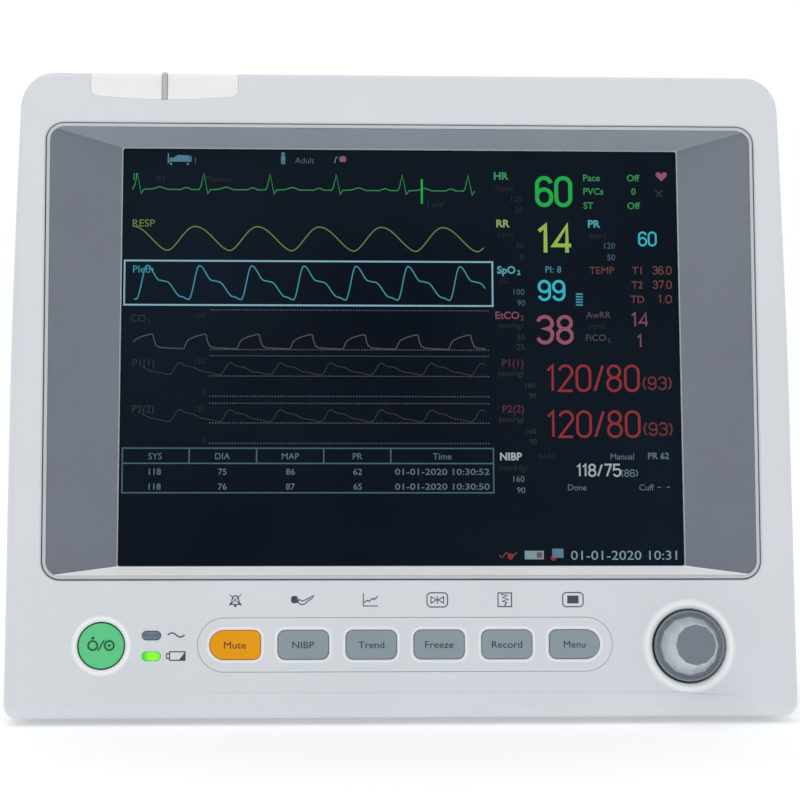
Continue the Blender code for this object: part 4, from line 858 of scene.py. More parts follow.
def display():
    outer, inner = -0.00045, -0.0017
    lip = ((outer, 0.003), (outer, 0.0004), (outer - 0.0003, 0.0001), (inner + 0.0003, 0.0001),
           (inner, 0.0003),
           (inner, 0.003))
    piece("mask_lip", skin([level(aperture(grow), depth) for grow, depth in lip], loop=True), "mask_lip",
          slot="mask_silver", panel=True, sharp=50)
    walls = ((-0.0016, 0.0006), (-0.0016, 0.0029), (0.004, 0.0029), (0.004, 0.0042), (0.001, 0.0048),
             (-0.001, SCREEN_DEPTH + 0.001))
    body = raw("mask_walls", skin([level(aperture(grow), depth) for grow, depth in walls]))
    carved(body, [skin([wall_ring(-0.002, 0.0001), wall_ring(SCREEN_DEPTH, 0.0007),
                        screen_ring(0.0, 0.012, 0.0007)])])
    body.data.transform(PANEL)
    show(body, "mask", "case", "mask_silver", sharp=14, stands_for="display_mask")
    body.data.materials.append(looks["mask_sill_painted_light"])
    body.data.materials.append(looks["mask_top_painted_light"])
    # walls facing up get the painted-light bottom colour and walls facing down the lighter painted top
    # colour; side walls keep the plain grey
    up, inwards = (PANEL.to_3x3() @ Vector(way) for way in ((0, 0, 1), (0, 1, 0)))
    for face in body.data.polygons:
        lean = face.normal.dot(up)
        if abs(face.normal.dot(inwards)) < 0.98 and abs(face.normal.x) < 0.2:
            face.material_index = 1 if lean > 0.2 else 2 if lean < -0.2 else 0
    edge = ((0.0, 0.0089), (-0.0002, 0.0085), (-0.0002, 0.0079), (0.0, 0.0076), (0.0005, 0.0078),
            (0.0005, 0.0089))
    piece("screen_edge", skin([screen_ring(grow, depth, 0.0008) for grow, depth in edge], loop=True),
          "mask_lip",
          slot="mask_silver", panel=True, sharp=60)


RASTER_W, RASTER_H = 800, 600
PIXEL = 2 * SCREEN_HALF / RASTER_W

# A row for each thing on the display, in raster units from its upper left. After the colour, - and = are an
# open and a closed stroke with its width and points, + is an area with its points, and o a spot with its half
# sizes and centre. #60 is the figure 60 with its centre, height, width and weight. Anything else is a word
# with its centre, height, and then its stretch, boldness and alignment where they aren't plain.
READINGS = """
icon - 1.8 65,7 65,22
icon - 2.4 65,18 97,18 97,11
icon + 67,16.5 95,16.5 95,10 78,9.5 73,13.5 67,13.5
icon o 1.7 1.7 69,22.5
icon o 1.7 1.7 93,22.5
teal 1 104 17 9
icon o 2.6 2.6 230,7
icon - 6 230,10 230,16
icon - 2.4 228.4,15 228.4,22
icon - 2.4 231.6,15 231.6,22
teal Adult 261 16 9
white_soft - 1.6 304,20 306,12 309,11
pink o 5 4.4 316,14
white_soft - 1.5 312,11 320,18
white_soft - 1.5 320,11 312,18
green_mid HR 545 37 11 1.05 0.03
faint (bpm) 549 55 8
faint 120 567 71 9
faint 50 570 87 9
green #60 621 60 46 54 5.8
green_soft Pace 664 39 10 1 0.02 LEFT
green_soft Off 737 39 10 1 0.02
green_soft PVCs 664 59 10 1 0.02 LEFT
green_soft 0 737 59 10 1 0.02
green_soft ST 664 80 10 1 0.02 LEFT
green_soft Off 737 80 10 1 0.02
pink + 778,44 770,36 770,32 774,30 778,33 782,30 786,32 786,36
faint_red - 1.8 769,57 779,67
faint_red - 1.8 779,57 769,67
lime_mid RR 547 107 11 1.05 0.03
faint (rpm) 551 123 8
faint 30 571 139 9
faint 8 574 156 9
lime #14 622 130 45 52 5.6
cyan_mid PR 679 107 11 1.05 0.03
faint (bpm) 684 124 8
teal 120 701 139 9
teal 50 703 156 9
cyan #60 756 129 22 27 2.7
cyan_mid SpO 551 175 11 1 0.03
cyan_mid 2 569 179 7 1 0.03
faint (%) 547 191 8
teal 100 569 207 9
teal 90 572 223 9
cyan_soft PI:_8 619 174 10
cyan #99 616 205 31 40 3.9
cyan_soft - 2.2 651,210 661,210
cyan_soft - 2.2 651,214 661,214
cyan_soft - 2.2 651,218 661,218
cyan_soft - 2.2 651,222 661,222
cyan_soft - 2.2 651,226 661,226
orange TEMP 689 175 11
orange T1 740 175 11 1 0.01
orange #36.0 776.1 175 12.5 27.8 1.6
orange T2 740 196 11 1 0.01
orange #37.0 776.1 196 12.5 27.8 1.6
orange TD 740 217 11 1 0.01
orange #1.0 779.7 217 12.5 20.6 1.6
pink_mid EtCO 552 241 11 1 0.02
pink_mid 2 573 245 7
faint (mmHg) 556 256 8
faint_red 50 571 273 9
faint_red 25 570 287 9
pink #38 620 262 43 55 5.2
pink_soft AwRR 683 240 10
faint (rpm) 681 256 8
pink_mid #14 743 247 22 26 2.6
pink_soft FiCO 679 273 10
pink_soft 2 698 277 6
pink_mid #1 742 278 20 8 2.5
red_soft P1(1) 559 310 11 1 0.02
faint_red (mmHg) 556 325 8
faint_red 160 584 342 8
faint_red 90 587 357 8
red #120/80 674 332 40 134 3.7
red_mid #(93) 766 339 20 42 2.4
red_soft P2(2) 559 376 11 1 0.02
faint_red (mmHg) 556 391 8
faint_red 160 584 408 8
faint_red 90 587 423 8
red #120/80 674 398 40 134 3.7
red_mid #(93) 766 405 20 42 2.4
white NIBP 555 444 11 1 0.03
faint 04:01 605 444 8
faint (mmHg) 558 460 9
white_soft 160 566 476 9
white_soft 90 569 492 9
white_soft Manual 714 444 9
white_soft PR_62 766 443 9.5 1 0.02
white #118/75 680 464 19 64 2.6
white_soft #(86) 724 468 11 24 1.5
white_soft Done 649 488 9
white_soft Cuff 748 488 9
white_soft - 1.4 764,488 768,488
white_soft - 1.4 777,488 781,488
green_mid II 18 41 10
faint X1 53 44 9
faint Monitor 139 44 9
lime_soft RESP 31 109 11 1.05
cyan_soft Pleth 31 176 11
faint_red CO 25 247 11
faint_red 2 40 251 6
faint_red P1(1) 33 311 11
faint_red P2(2) 33 377 11
faint 100 113 243 8
faint 150 113 309 8
faint 0 119 353 8
faint 150 113 377 8
faint 0 119 421 8
faint 1_mV 450 80 9
"""

TABLE = """
teal = 2 5,433 530,433 530,496 5,496
teal - 2 5,454.5 530,454.5
teal - 2 99,433 99,454.5
teal - 2 194,433 194,454.5
teal - 2 289,433 289,454.5
teal - 2 384,433 384,454.5
white_soft SYS 51 444 9.5
white_soft 118 51 466 9.2 1.05 0.008
white_soft 118 51 487 9.2 1.05 0.008
white_soft DIA 146 444 9.5
white_soft 75 146 466 9.2 1.05 0.008
white_soft 76 146 487 9.2 1.05 0.008
white_soft MAP 242 444 9.5
white_soft 86 242 466 9.2 1.05 0.008
white_soft 87 242 487 9.2 1.05 0.008
white_soft PR 337 444 9.5
white_soft 62 337 466 9.2 1.05 0.008
white_soft 65 337 487 9.2 1.05 0.008
white_soft Time 457 444 9.5
white_soft 01-01-2020_10:30:52 457 466 9.2 1.28 0.008
white_soft 01-01-2020_10:30:50 457 487 9.2 1.28 0.008
"""

CLOCK = """
red o 4.2 4.2 553,586
clock + 573,590 600,590 600,578 573,578
orange + 590,588 598,588 598,580 590,580
icon + 612,588 628,588 628,575 612,575
red o 4.2 4.2 614,588
clock 01-01-2020_10:31 714 584 13.5 1.18
"""


def at(x, y):
    """A raster point on the panel."""
    return (-SCREEN_HALF + 2 * SCREEN_HALF * x / RASTER_W,
            SCREEN_TOP - (SCREEN_TOP - SCREEN_BOTTOM) * y / RASTER_H)


def draw_rows(art, rows):
    for row in rows.strip().splitlines():
        colour, mark, *rest = row.split()
        if mark in "-=+o":
            spots = [at(*map(float, pair.split(","))) for pair in rest if "," in pair]
            sizes = [float(size) * PIXEL for size in rest if "," not in size]
            if mark in "-=":
                art.line(colour, spots, sizes[0], mark == "=")
            else:
                art.fill(colour, spots if mark == "+" else pill(*spots[0], *sizes))
            continue
        align = rest.pop() if rest[-1] == "LEFT" else "CENTER"
        x, y, tall, *more = map(float, rest)
        if mark[0] == "#":
            art.digits(colour, mark[1:], *at(x, y), tall * PIXEL, *(size * PIXEL for size in more))
        else:
            art.words(colour, mark.replace("_", " "), *at(x, y), tall * PIXEL, *more, align=align)


def pulse_points(shape, period, start, end, x0, y, scale):
    """A repeated wave: shape is (share of the period, height) and y its base line."""
    points = []
    beat = x0 - period * math.ceil((x0 - start) / period)
    while beat < end:
        for share, height in shape:
            x = beat + share * period
            if start <= x <= end:
                points.append(at(x, y - height * scale))
        beat += period
    return points


def smooth_wave(shape, count=48):
    """Cosine-eased samples through the stops of one period."""
    samples = []
    for share in [i / count for i in range(count)]:
        (a, low), (b, high) = next(pair for pair in zip(shape, shape[1:]) if pair[0][0] <= share < pair[1][0])
        ease = 0.5 - 0.5 * math.cos(math.pi * (share - a) / (b - a))
        samples.append((share, low + (high - low) * ease))
    return samples


def screen_content():
    art = Drawing(0.0088, 0.00892)
    draw_rows(art, READINGS)
    for y in (235, 292, 301, 330, 359, 369, 397, 426):
        for x in [127 + 4 * i for i in range(100)]:
            art.fill("dots", [at(x, y + 0.7), at(x + 1.7, y + 0.7), at(x + 1.7, y - 0.7), at(x, y - 0.7)])

    def wave(colour, width, shape, *where):
        art.line(colour, pulse_points(shape, *where), width * PIXEL)

    beat = ((0.0, 1.0), (0.06, -0.25), (0.1, 0.0), (0.22, 0.02), (0.27, 0.08), (0.33, 0.17), (0.38, 0.12),
            (0.45, 0.0), (0.66, 0.0), (0.72, 0.12), (0.77, 0.1), (0.81, 0.0), (0.93, 0.0), (0.955, 0.18))
    wave("green_soft", 1.5, beat, 95.2, 11, 509, 21, 60, 23)
    draw_rows(art, "green - 3 430,43 430,79")
    breath, falling = [], 0.56
    for share in [i / 44 for i in range(44)]:
        swing = share / falling if share < falling else 1 + (share - falling) / (1 - falling)
        breath.append((share, (0.5 + 0.5 * math.cos(math.pi * swing)) ** 0.85))
    wave("lime_soft", 1.6, breath, 88.9, 14, 519, 15.5, 149, 35)
    draw_rows(art, "cyan_pale = 2.4 4.5,164 531,164 531,228 4.5,228")
    pleth = smooth_wave(((0.0, 0.0), (0.2, 1.0), (0.45, 0.56), (0.56, 0.53), (0.86, 0.08), (1.0, 0.0)))
    wave("cyan_soft", 1.7, pleth, 74.6, 17, 521, 21.5, 220, 49)
    puff = ((0.0, 0.0), (0.05, 0.45), (0.09, 0.62), (0.2, 0.82), (0.38, 1.0), (0.42, 0.95), (0.44, 0.55),
            (0.48, 0.2), (0.55, 0.08), (0.7, 0.04), (0.98, 0.0))
    wave("pink_soft", 1.6, puff, 75.5, 16, 524, 90, 291, 21)
    artery = smooth_wave(((0.0, 0.0), (0.2, 1.0), (0.34, 0.7), (0.4, 0.68), (0.7, 0.22), (1.0, 0.0)), 30)
    for y in (328, 395):
        wave("faint_red", 1.4, artery, 71.6, 30, 521, 70, y, 17)
    draw_rows(art, TABLE)
    art.line("orange", [at(537 + t, 584 + 3 * math.sin(t / 2.2)) for t in range(26)], 1.8 * PIXEL)
    draw_rows(art, CLOCK)
    art.pieces("screen", "case", lambda colour: "glow_" + colour)


# ---------------------------------------------------------------- keys, button, indicators, prints


def keys():
    plate = raw("surround_plate", slab(lambda g: surround(-0.0001 + g), 0.0, SURROUND_BACK, 0.0002))
    carved(plate, [mouth(lambda g, i=i: key_outline(i, 0.0003 + g), 0.0002) for i in range(len(KEYS))])
    plate.data.transform(PANEL)
    show(plate, "bezel", "case", "bezel_white", stands_for="key_surround", sharp=40)
    rim = ((0.00014, 0.001), (0.00014, -0.0001), (0.00036, -0.00026), (0.00085, -0.00032), (0.0012, -0.00022),
           (0.0015, 0.0), (0.00155, 0.001))
    for index, (name, word, stretch) in enumerate(KEYS):
        rings = [level(key_outline(index, grow, 8), depth) for grow, depth in rim]
        piece(f"key_{name}_rim", skin(rings, loop=True), "bezel_bright", slot="bezel_white", panel=True,
              sharp=60)
        look, slot, ink = "key", "key_grey", "print_key"
        if name == "mute":
            look, slot, ink = "key_mute", "key_orange", "print_brown"
        body = f"key_{name}_cap"
        cap = slab(lambda g, i=index: key_outline(i, g, 8), -KEY_PROUD, KEY_BACK - 0.0002, 0.0005, 0.0001)
        piece(f"key_{name}_top", cap, look, body, slot, panel=True, stands_for="key_" + name, sharp=50)
        label = Drawing(-KEY_PROUD - 0.00013, -KEY_PROUD - 0.00004)
        label.words("word", word, key_x(index), KEY_ROW_V, 0.0026, stretch)
        label.pieces(f"key_{name}", body, lambda _: ink)


def power_button():
    cap = rounded([(0, 0.0008), (0.006, 0.00075), (POWER_RADIUS, 0.0004), (POWER_RADIUS, -0.005),
                   (0, -0.005)],
                  0.0006, 5)
    piece("power_cap", turned(cap, (POWER_X, 0, POWER_V), "front", 72), "button_green", "power_button",
          "button_green", panel=True, sharp=45, stands_for="power_button")
    art = Drawing(-0.0009, -0.00078)
    centre = POWER_V + 0.0001
    for u, v in ((POWER_X - 0.003, centre + 0.0027), (POWER_X + 0.003, centre)):
        art.line("symbol", arc(u, centre, 0.00165, 0, 360, 28)[:-1], 0.0006, closed=True)
        art.fill("symbol", pill(u, v, 0.0005, 0.0005))
    art.line("symbol", [(POWER_X - 0.0011, centre - 0.0019), (POWER_X + 0.0011, centre + 0.0019)], 0.0005)
    art.pieces("power", "power_button", lambda _: "button_dark")


def indicators():
    for name, v in LED_V.items():
        look, slot = ("led_lit", "led_green") if name == "led_battery" else ("led_slate", "led_slate")
        work = slab(lambda g, v=v: pill(LED_X, v, LED_HALF_W, LED_HALF_H, g, 8),
                    -0.0002, 0.006, 0.0005, 0.00015)
        piece(name + "_lens", work, look, "case", slot, panel=True, sharp=60, stands_for=name)


def prints():
    """Line symbols on the front. Each has its middle, and its points are millimetres from there."""
    art = Drawing(-0.00004, 0.00002)

    def near(u, *points, v=SYMBOL_V):
        return [(u + a * MM, v + b * MM) for a, b in points]

    def draw(points, width=0.0004, closed=False):
        art.line("symbols", points, width, closed)

    def tube_face(u):
        side = outline(u - 3.6 * MM, u + 3.6 * MM, SYMBOL_V - 2.6 * MM, SYMBOL_V + 2.6 * MM,
                       (1.2 * MM,) * 4, 5)
        bulge = [0.25 * MM * (1 - ((b - SYMBOL_V) / (2.6 * MM)) ** 2) for _, b in side]
        draw([(a + math.copysign(out, a - u), b) for (a, b), out in zip(side, bulge)], closed=True)

    # mains wave and battery
    swing = [-3.05 + 6.1 * i / 20 for i in range(21)]
    draw([(-0.0832 + t * MM, 0.031 + 0.00075 * math.sin(-t / 3.05 * math.pi)) for t in swing], 0.0005)
    draw([(-0.0855, 0.0218), (-0.0799, 0.0218), (-0.0799, 0.0249), (-0.0855, 0.0249)], closed=True)
    draw([(-0.0857, 0.0225), (-0.0866, 0.0225), (-0.0866, 0.0242), (-0.0857, 0.0242)])
    art.fill("symbols", [(-0.082, 0.022), (-0.0801, 0.022), (-0.0801, 0.0246)])
    # crossed bell
    u = -0.0617
    draw(near(u, (-2.0, -1.5), (-1.3, -0.6), (-1.1, 0.9), (-0.5, 1.6), (0.5, 1.6), (1.1, 0.9), (1.3, -0.6),
              (2.0, -1.5)), closed=True)
    art.fill("symbols", pill(*near(u, (0, -2.1))[0], 0.5 * MM, 0.4 * MM))
    draw(near(u, (-2.2, -2.0), (2.2, 2.2)), 0.00026)
    draw(near(u, (2.2, -2.0), (-2.2, 2.2)), 0.00026)
    # arm with a cuff
    u = -0.0372
    art.fill("symbols", pill(*near(u, (-2.9, 0.2))[0], 1.25 * MM, 1.35 * MM, 0, 6, 0.9 * MM))
    draw(near(u, (-1.6, -0.8), (-0.6, -1.6), (0.8, -1.5), (2.3, -0.2), (3.6, 0.7), (4.2, 1.7), (2.8, 1.0),
              (1.4, 0.2),
              (0, -0.4), (-1.2, 0.3)), closed=True)
    # trend chart
    u = -0.0122
    draw(near(u, (-2.6, 2.5), (-2.6, -2.2), (2.8, -2.2)), 0.00036)
    draw(near(u, (-2.2, -0.9), (-1.2, -0.1), (-0.4, -0.5), (0.7, 0.6), (1.5, 0.2), (2.7, 1.4)))
    # frozen picture
    u = 0.0124
    tube_face(u)
    for side in (-1, 1):
        draw(near(u, (side * 0.3, 0), (side * 2.3, 1.2), (side * 2.3, -1.2)), 0.00036, True)
    draw(near(u, (0, -1.4), (0, 1.4)), 0.00036)
    # strip recorder
    u = 0.0373
    draw(near(u, (-2.5, -2.5), (2.5, -2.5), (2.5, 2.5), (-2.5, 2.5)), closed=True)
    draw(near(u, (-1.4, 2.0), (0.9, 1.5), (-0.8, 0.8), (1.3, 0.1), (-0.9, -0.5), (0.7, -1.1), (-0.1, -2.2)))
    # menu
    u = 0.0625
    tube_face(u)
    art.fill("symbols", near(u, (-2.1, -1.4), (2.1, -1.4), (2.1, 1.5), (-2.1, 1.5)))
    art.pieces("front", "case", lambda _: "print_slate")


def knob():
    """Skirt with a fine groove, and a twelve-sided grip with softened edges."""
    place, top, low = (KNOB_X, 0, KNOB_V), KNOB_SKIRT_PROUD, 0.0008
    skirt = rounded([(0, top - 0.0007), (KNOB_SKIRT - 0.0018, top - 0.0007), (KNOB_SKIRT - 0.0008, top),
                     (KNOB_SKIRT - 0.0004, top), (KNOB_SKIRT, top - 0.0005), (KNOB_SKIRT, -KNOB_SUNK),
                     (0, -KNOB_SUNK)], 0.0003, 4)
    piece("knob_skirt", turned(skirt, place, "front", 96), "knob", "knob_turning", "knob_grey", panel=True,
          sharp=50,
          stands_for="knob")
    grip = softened(cone(12, KNOB_BASE + 0.0006, KNOB_FACE, KNOB_PROUD - low,
                         Matrix.Translation((0, 0, (KNOB_PROUD + low) / 2))), 0.00022, 2)
    made = piece("knob_grip", moved(grip, Matrix.Translation(place) @ WAYS["front"]), "knob", "knob_turning",
                 "knob_grey", panel=True, sharp=28)
    made.data.materials.append(looks["knob_facet_painted_sheen"])
    # faces sloping away from the front take the painted-sheen facet colour; the flat front face keeps the
    # knob's own colour
    out = PANEL.to_3x3() @ Vector((0, -1, 0))
    for face in made.data.polygons:
        face.material_index = 1 if face.normal.dot(out) < 0.985 else 0
    shaft = rounded([(0, 0.0009), (0.003, 0.0009), (0.003, -0.0132), (0, -0.0132)], 0.0003, 2)
    piece("knob_shaft", turned(shaft, place, "front", 32), "steel", "knob_turning", "steel", panel=True,
          stands_for="encoder_shaft")


# ---------------------------------------------------------------- rear housing


def rear_ring(y, inset):
    radius_top = max(REAR_TOP_RADIUS - 0.5 * inset, 0.002)
    radius_bottom = max(REAR_BOTTOM_RADIUS - 0.2 * inset, 0.001)
    radii = (radius_bottom, radius_top, radius_top, radius_bottom)
    shape = outline(-REAR_HALF + inset, REAR_HALF - inset, BASE_Z + inset, REAR_TOP - inset, radii, 12)
    return [(u, y, v) for u, v in shape]


def rear_block(inset, steps=10):
    rings = [rear_ring(-0.06 - inset, inset), rear_ring(REAR_Y - REAR_ROUND, inset)]
    radius = REAR_ROUND - inset
    for step in range(1, steps + 1):
        angle = math.pi / 2 * step / steps
        rings.append(rear_ring(REAR_Y - REAR_ROUND + radius * math.sin(angle),
                               inset + radius * (1 - math.cos(angle))))
    return skin(rings)


def grown(low, high, gap):
    gap = Vector((gap,) * 3)
    return Vector(low) - gap, Vector(high) + gap


def flared_box(low, high, axis, fillet=0.0006, radius=0.001, reach=0.02):
    """A pocket cutter that opens along one axis direction, with softened corners and a flared mouth."""
    a, b, t = {"X": (1, 2, 0), "Y": (0, 2, 1), "Z": (0, 1, 2)}[axis[-1]]
    out = -1 if axis[0] == "-" else 1
    top, floor = (low[t], high[t]) if out < 0 else (high[t], low[t])

    def ring(grow, height):
        points = []
        for p, q in outline(low[a] - grow, high[a] + grow, low[b] - grow, high[b] + grow,
                            (radius + grow,) * 4, 5):
            point = [0, 0, 0]
            point[a], point[b], point[t] = p, q, height
            points.append(tuple(point))
        return points

    rings = [ring(fillet, top + out * reach), ring(fillet, top)]
    for turn in [math.pi / 2 * i / 4 for i in range(1, 5)]:
        rings.append(ring(fillet * (1 - math.sin(turn)), top - out * fillet * (1 - math.cos(turn))))
    return skin([*rings, ring(0.0, floor)])


def slot_tools(x_low, x_high, z_low, count):
    """A column of level slots through the back, each with a flared mouth."""
    made = []
    for i in range(count):
        z = z_low + SLOT_PITCH * i + SLOT_HEIGHT / 2
        shape, wide = (pill((x_low + x_high) / 2, z, (x_high - x_low) / 2, SLOT_HEIGHT / 2, grow, 6)
                       for grow in (0.0, 0.0004))
        made.append(skin([level(wide, REAR_Y + 0.01), level(wide, REAR_Y), level(shape, REAR_Y - 0.0005),
                          level(shape, REAR_Y - 0.006)]))
    return made


def rear_housing():
    shell = raw("rear_shell", rear_block(0.0))
    hollow = raw("hollow", rear_block(WALL, 6))
    pockets = (
        ((-POCKET_HALF, POCKET_Y, POCKET_Z), (POCKET_HALF, FAR, FAR)),
        (PORT_LOW, (PORT_HIGH[0], FAR, PORT_HIGH[2])),
        ((-0.06, 0.0, -FAR), (0.06, 0.06, BASE_Z + 0.0022)),
    )
    carved(hollow, [block(*grown(low, high, WALL)) for low, high in pockets])
    carved(shell, [hollow])
    carved(shell, [block(low, high, 0.0012, 4) for low, high in pockets])
    past = PARTING_DEPTH + 0.0004
    carved(shell, [raw("tool", block((-FAR, -FAR, -FAR), (FAR, past, 2 * FAR)), PANEL)])
    carved(shell, [block(*grown(low, high, GAP), 0.0008, 4) for low, high in (
        ((-0.1507, *BAY_LOW[1:]), BAY_HIGH), (RECORDER_LOW, (FAR, *RECORDER_HIGH[1:])),
        (BATTERY_LOW, (FAR, *BATTERY_HIGH[1:])))])
    tools = [flared_box((-0.006, 0.07, 0.109), (0.076, REAR_Y, 0.181), "+Y")]
    for x_low, x_high, z_low, count in ((-0.088, -0.052, 0.1319, 7), (0.096, 0.124, 0.188, 4),
                                        (-0.124, -0.096, 0.188, 4)):
        tools += slot_tools(x_low, x_high, z_low, count)
    for low, high in ((INLET_LOW, (-0.081, 0.07, 0.0445)), (JACK_LOW, (-0.024, 0.07, 0.0405))):
        tools.append(block(Vector(low) - Vector((GAP,) * 3), Vector(high) + Vector((GAP, 0, GAP)), 0.0, 4))
    tools.append(rod((-0.062, 0.06, 0.034), (-0.062, 0.07, 0.034), 0.0044, 32))
    tools.append(rod((-0.096, HANDLE_PIVOT_Y, HANDLE_Z), (0.096, HANDLE_PIVOT_Y, HANDLE_Z), 0.0036, 32))
    tools += [foot_pocket(side, FOOT_ROWS["rear"]) for side in (-1, 1)]
    seat = REAR_Y - 0.0014
    screws = [(x, z) for x in (-0.128, 0.128) for z in (0.012, 0.215)] + [(0.06, 0.07), (-0.01, 0.07)]
    tools += [rod((x, seat, z), (x, REAR_Y + 0.01, z), 0.004, 32) for x, z in screws]
    tools.append(flared_box((0.022, REAR_Y - 0.0003, 0.02), (0.092, REAR_Y, 0.052), "+Y", 0.0002, 0.002))
    carved(shell, tools)
    show(shell, "rear_shell", "case", "rear_white", sharp=30, stands_for="rear_housing")
    for number, (x, z) in enumerate(screws):
        screw(f"rear_screw_{number}", (x, seat, z), "rear")
    rating = slab(lambda g: outline(0.0224 - g, 0.0916 + g, 0.0204 - g, 0.0516 + g, (0.0018 + g,) * 4, 6),
                  0.0,
                  0.0002, 0.00008)
    about = Matrix.Rotation(math.pi, 4, "Z")
    piece("rating_label", moved(rating, Matrix.Translation((0.114, REAR_Y - 0.00026, 0)) @ about), "label",
          slot="bezel_white", sharp=60)
    rows = Drawing(0.0, 0.00006)
    for i, (wide, tall) in enumerate(((0.052, 0.0011), (0.06, 0.0007), (0.06, 0.0007),
                                      (0.044, 0.0007), (0.056, 0.0007))):
        rows.fill("lines", pill(0.0575 - (0.062 - wide) / 2, 0.0475 - 0.0034 * i, wide / 2, tall / 2))
    rows.line("lines", outline(0.027, 0.088, 0.0235, 0.03, (0.0006,) * 4, 3), 0.0003, closed=True)
    rows.inked("rating_lines", "print_slate", "case", "dark_plastic",
               Matrix.Translation((0.114, REAR_Y - 0.00003, 0)) @ about)


WAYS = {"rear": Matrix.Rotation(math.radians(-90), 4, "X"),
        "front": Matrix.Rotation(math.radians(90), 4, "X"),
        "left": Matrix.Rotation(math.radians(-90), 4, "Y"),
        "right": Matrix.Rotation(math.radians(90), 4, "Y"),
        "down": Matrix.Rotation(math.pi, 4, "X")}


def turned(profile, centre, way, steps=48, ring=False):
    return moved(lathe(profile, steps, ring), Matrix.Translation(centre) @ WAYS[way])


def screw(name, centre, way, radius=0.0031):
    """A pan head with a cross recess; it stands on centre and points along way."""
    head = raw(name, lathe(rounded([(0, 0.0011), (radius * 0.6, 0.001), (radius, 0.0004), (radius, 0.00001),
                                    (0, 0.00001)], 0.0004, 4), 40))
    arm, wide = radius * 0.58, radius * 0.15
    plus = [(wide, wide), (arm, wide), (arm, -wide), (wide, -wide), (wide, -arm), (-wide, -arm),
            (-wide, -wide),
            (-arm, -wide), (-arm, wide), (-wide, wide), (-wide, arm), (wide, arm)]
    carved(head, [skin([[(a * 0.55, b * 0.55, 0.0004) for a, b in plus], [(a, b, 0.0016) for a, b in plus]])])
    head.data.transform(Matrix.Translation(centre) @ WAYS[way])
    return show(head, "steel", "case", "steel", sharp=35)


# ---------------------------------------------------------------- left side


def connector_bay():
    tray = raw("connector_tray", block(BAY_LOW, BAY_HIGH, 0.0006))
    low = (BAY_LOW[0], BAY_LOW[1] + TRAY_WALL, BAY_LOW[2] + TRAY_WALL)
    high = (BAY_FLOOR, BAY_HIGH[1] - TRAY_WALL, BAY_HIGH[2] - TRAY_WALL)
    carved(tray, [flared_box(low, high, "-X", 0.0005, 0.0012)])
    holes = ((0.038, 0.166, 0.009), (0.0265, 0.139, 0.0067), (0.05, 0.139, 0.0067), (0.0285, 0.113, 0.0042),
             (0.0475, 0.113, 0.0042), (0.0275, 0.087, 0.0068), (0.0485, 0.087, 0.0068), (0.038, 0.056, 0.004))
    carved(tray, [rod((-0.132, y, z), (-0.12, y, z), radius + GAP, 48) for y, z, radius in holes])
    show(tray, "bezel", "case", "bezel_white", stands_for="connector_panel", sharp=35)
    bay_marks()
    round_socket("ecg_socket", 0.038, 0.166, 0.0105, "socket_green", 6)
    round_socket("spo2_socket", 0.0265, 0.139, 0.0082, "socket_blue", 5)
    round_socket("co2_socket", 0.05, 0.139, 0.0082, "socket_yellow", 4)
    socket_pair("temp_sockets", 0.113, (0.0285, 0.0475), 0.0042, 0.0022, "socket_brown")
    socket_pair("ibp_sockets", 0.087, (0.0275, 0.0485), 0.0068, 0.0046, "socket_red")
    nozzle = ((0.002, 0.139), (0.003, 0.139), (0.0042, 0.1375), (0.0042, 0.1362), (0.0034, 0.1355),
              (0.0034, 0.132), (0.0065, 0.132), (0.0065, 0.1283), (0.004, 0.1283), (0.004, 0.1225),
              (0.002, 0.1225))
    piece("nibp_spout", turned(nozzle, (0, 0.038, 0.056), "left", 64, ring=True), "steel", slot="steel",
          sharp=40,
          stands_for="nibp_nozzle", bevel=0.0002)


def stem(radius, tip, foot):
    """The profile of a contact with a blunt tip."""
    return [(0, tip), (0.0003, tip - 0.0001), (radius, tip - 0.0006), (radius, foot), (0, foot)]


def around(y, z, radius, count, start):
    turns = [math.radians(start + 360 * i / count) for i in range(count)]
    return [(0, y + radius * math.cos(t), z + radius * math.sin(t)) for t in turns]


def round_socket(name, y, z, radius, colour, pins):
    """A keyed round socket with a coloured collar and a circle of pins."""
    out, collar, centre = 0.1385, -(BAY_FLOOR - GAP), (0, y, z)
    bore, floor = radius - 0.003, 0.13
    body = [(0, floor), (bore, floor), (bore, out), (radius - 0.002, out), (radius - 0.002, out - 0.0008),
            (radius - 0.0004, out - 0.0008), (radius - 0.0004, collar), (radius - 0.0015, collar),
            (radius - 0.0015, 0.1225), (0, 0.1225)]
    key = block((-out + 0.0008, y - 0.0009, z + bore - 0.0012),
                (-floor - 0.0004, y + 0.0009, z + bore + 0.0006),
                0.0002)
    piece(name + "_barrel", turned(body, centre, "left", 72), "dark_plastic", slot="socket_blue", sharp=40,
          stands_for=name, bevel=0.00025)
    piece(name + "_key", key, "dark_plastic", slot="socket_blue", sharp=50)
    ring = [(radius - 0.0018, out - 0.001), (radius - 0.0018, out + 0.0002), (radius - 0.0003, out + 0.0002),
            (radius, out - 0.0005), (radius, collar + 0.0001), (radius - 0.0003, collar + 0.0001),
            (radius - 0.0003, out - 0.001)]
    piece(name + "_collar", turned(ring, centre, "left", 72, ring=True), colour, slot="socket_blue", sharp=45)
    holder = turned([(0, floor + 0.0026), (bore - 0.0022, floor + 0.0026), (bore - 0.0018, floor + 0.002),
                     (bore - 0.0018, floor + 0.00005), (0, floor + 0.00005)], centre, "left", 48)
    piece(name + "_insert", holder, "dark_plastic", slot="dark_plastic", sharp=40)
    contact = stem(0.00048, floor + 0.0058, floor + 0.0027)
    spots = [centre, *around(y, z, bore - 0.004, pins, 90)]
    piece(name + "_pins", merged(turned(contact, spot, "left", 16) for spot in spots), "gold_pin",
          slot="brass",
          sharp=40)


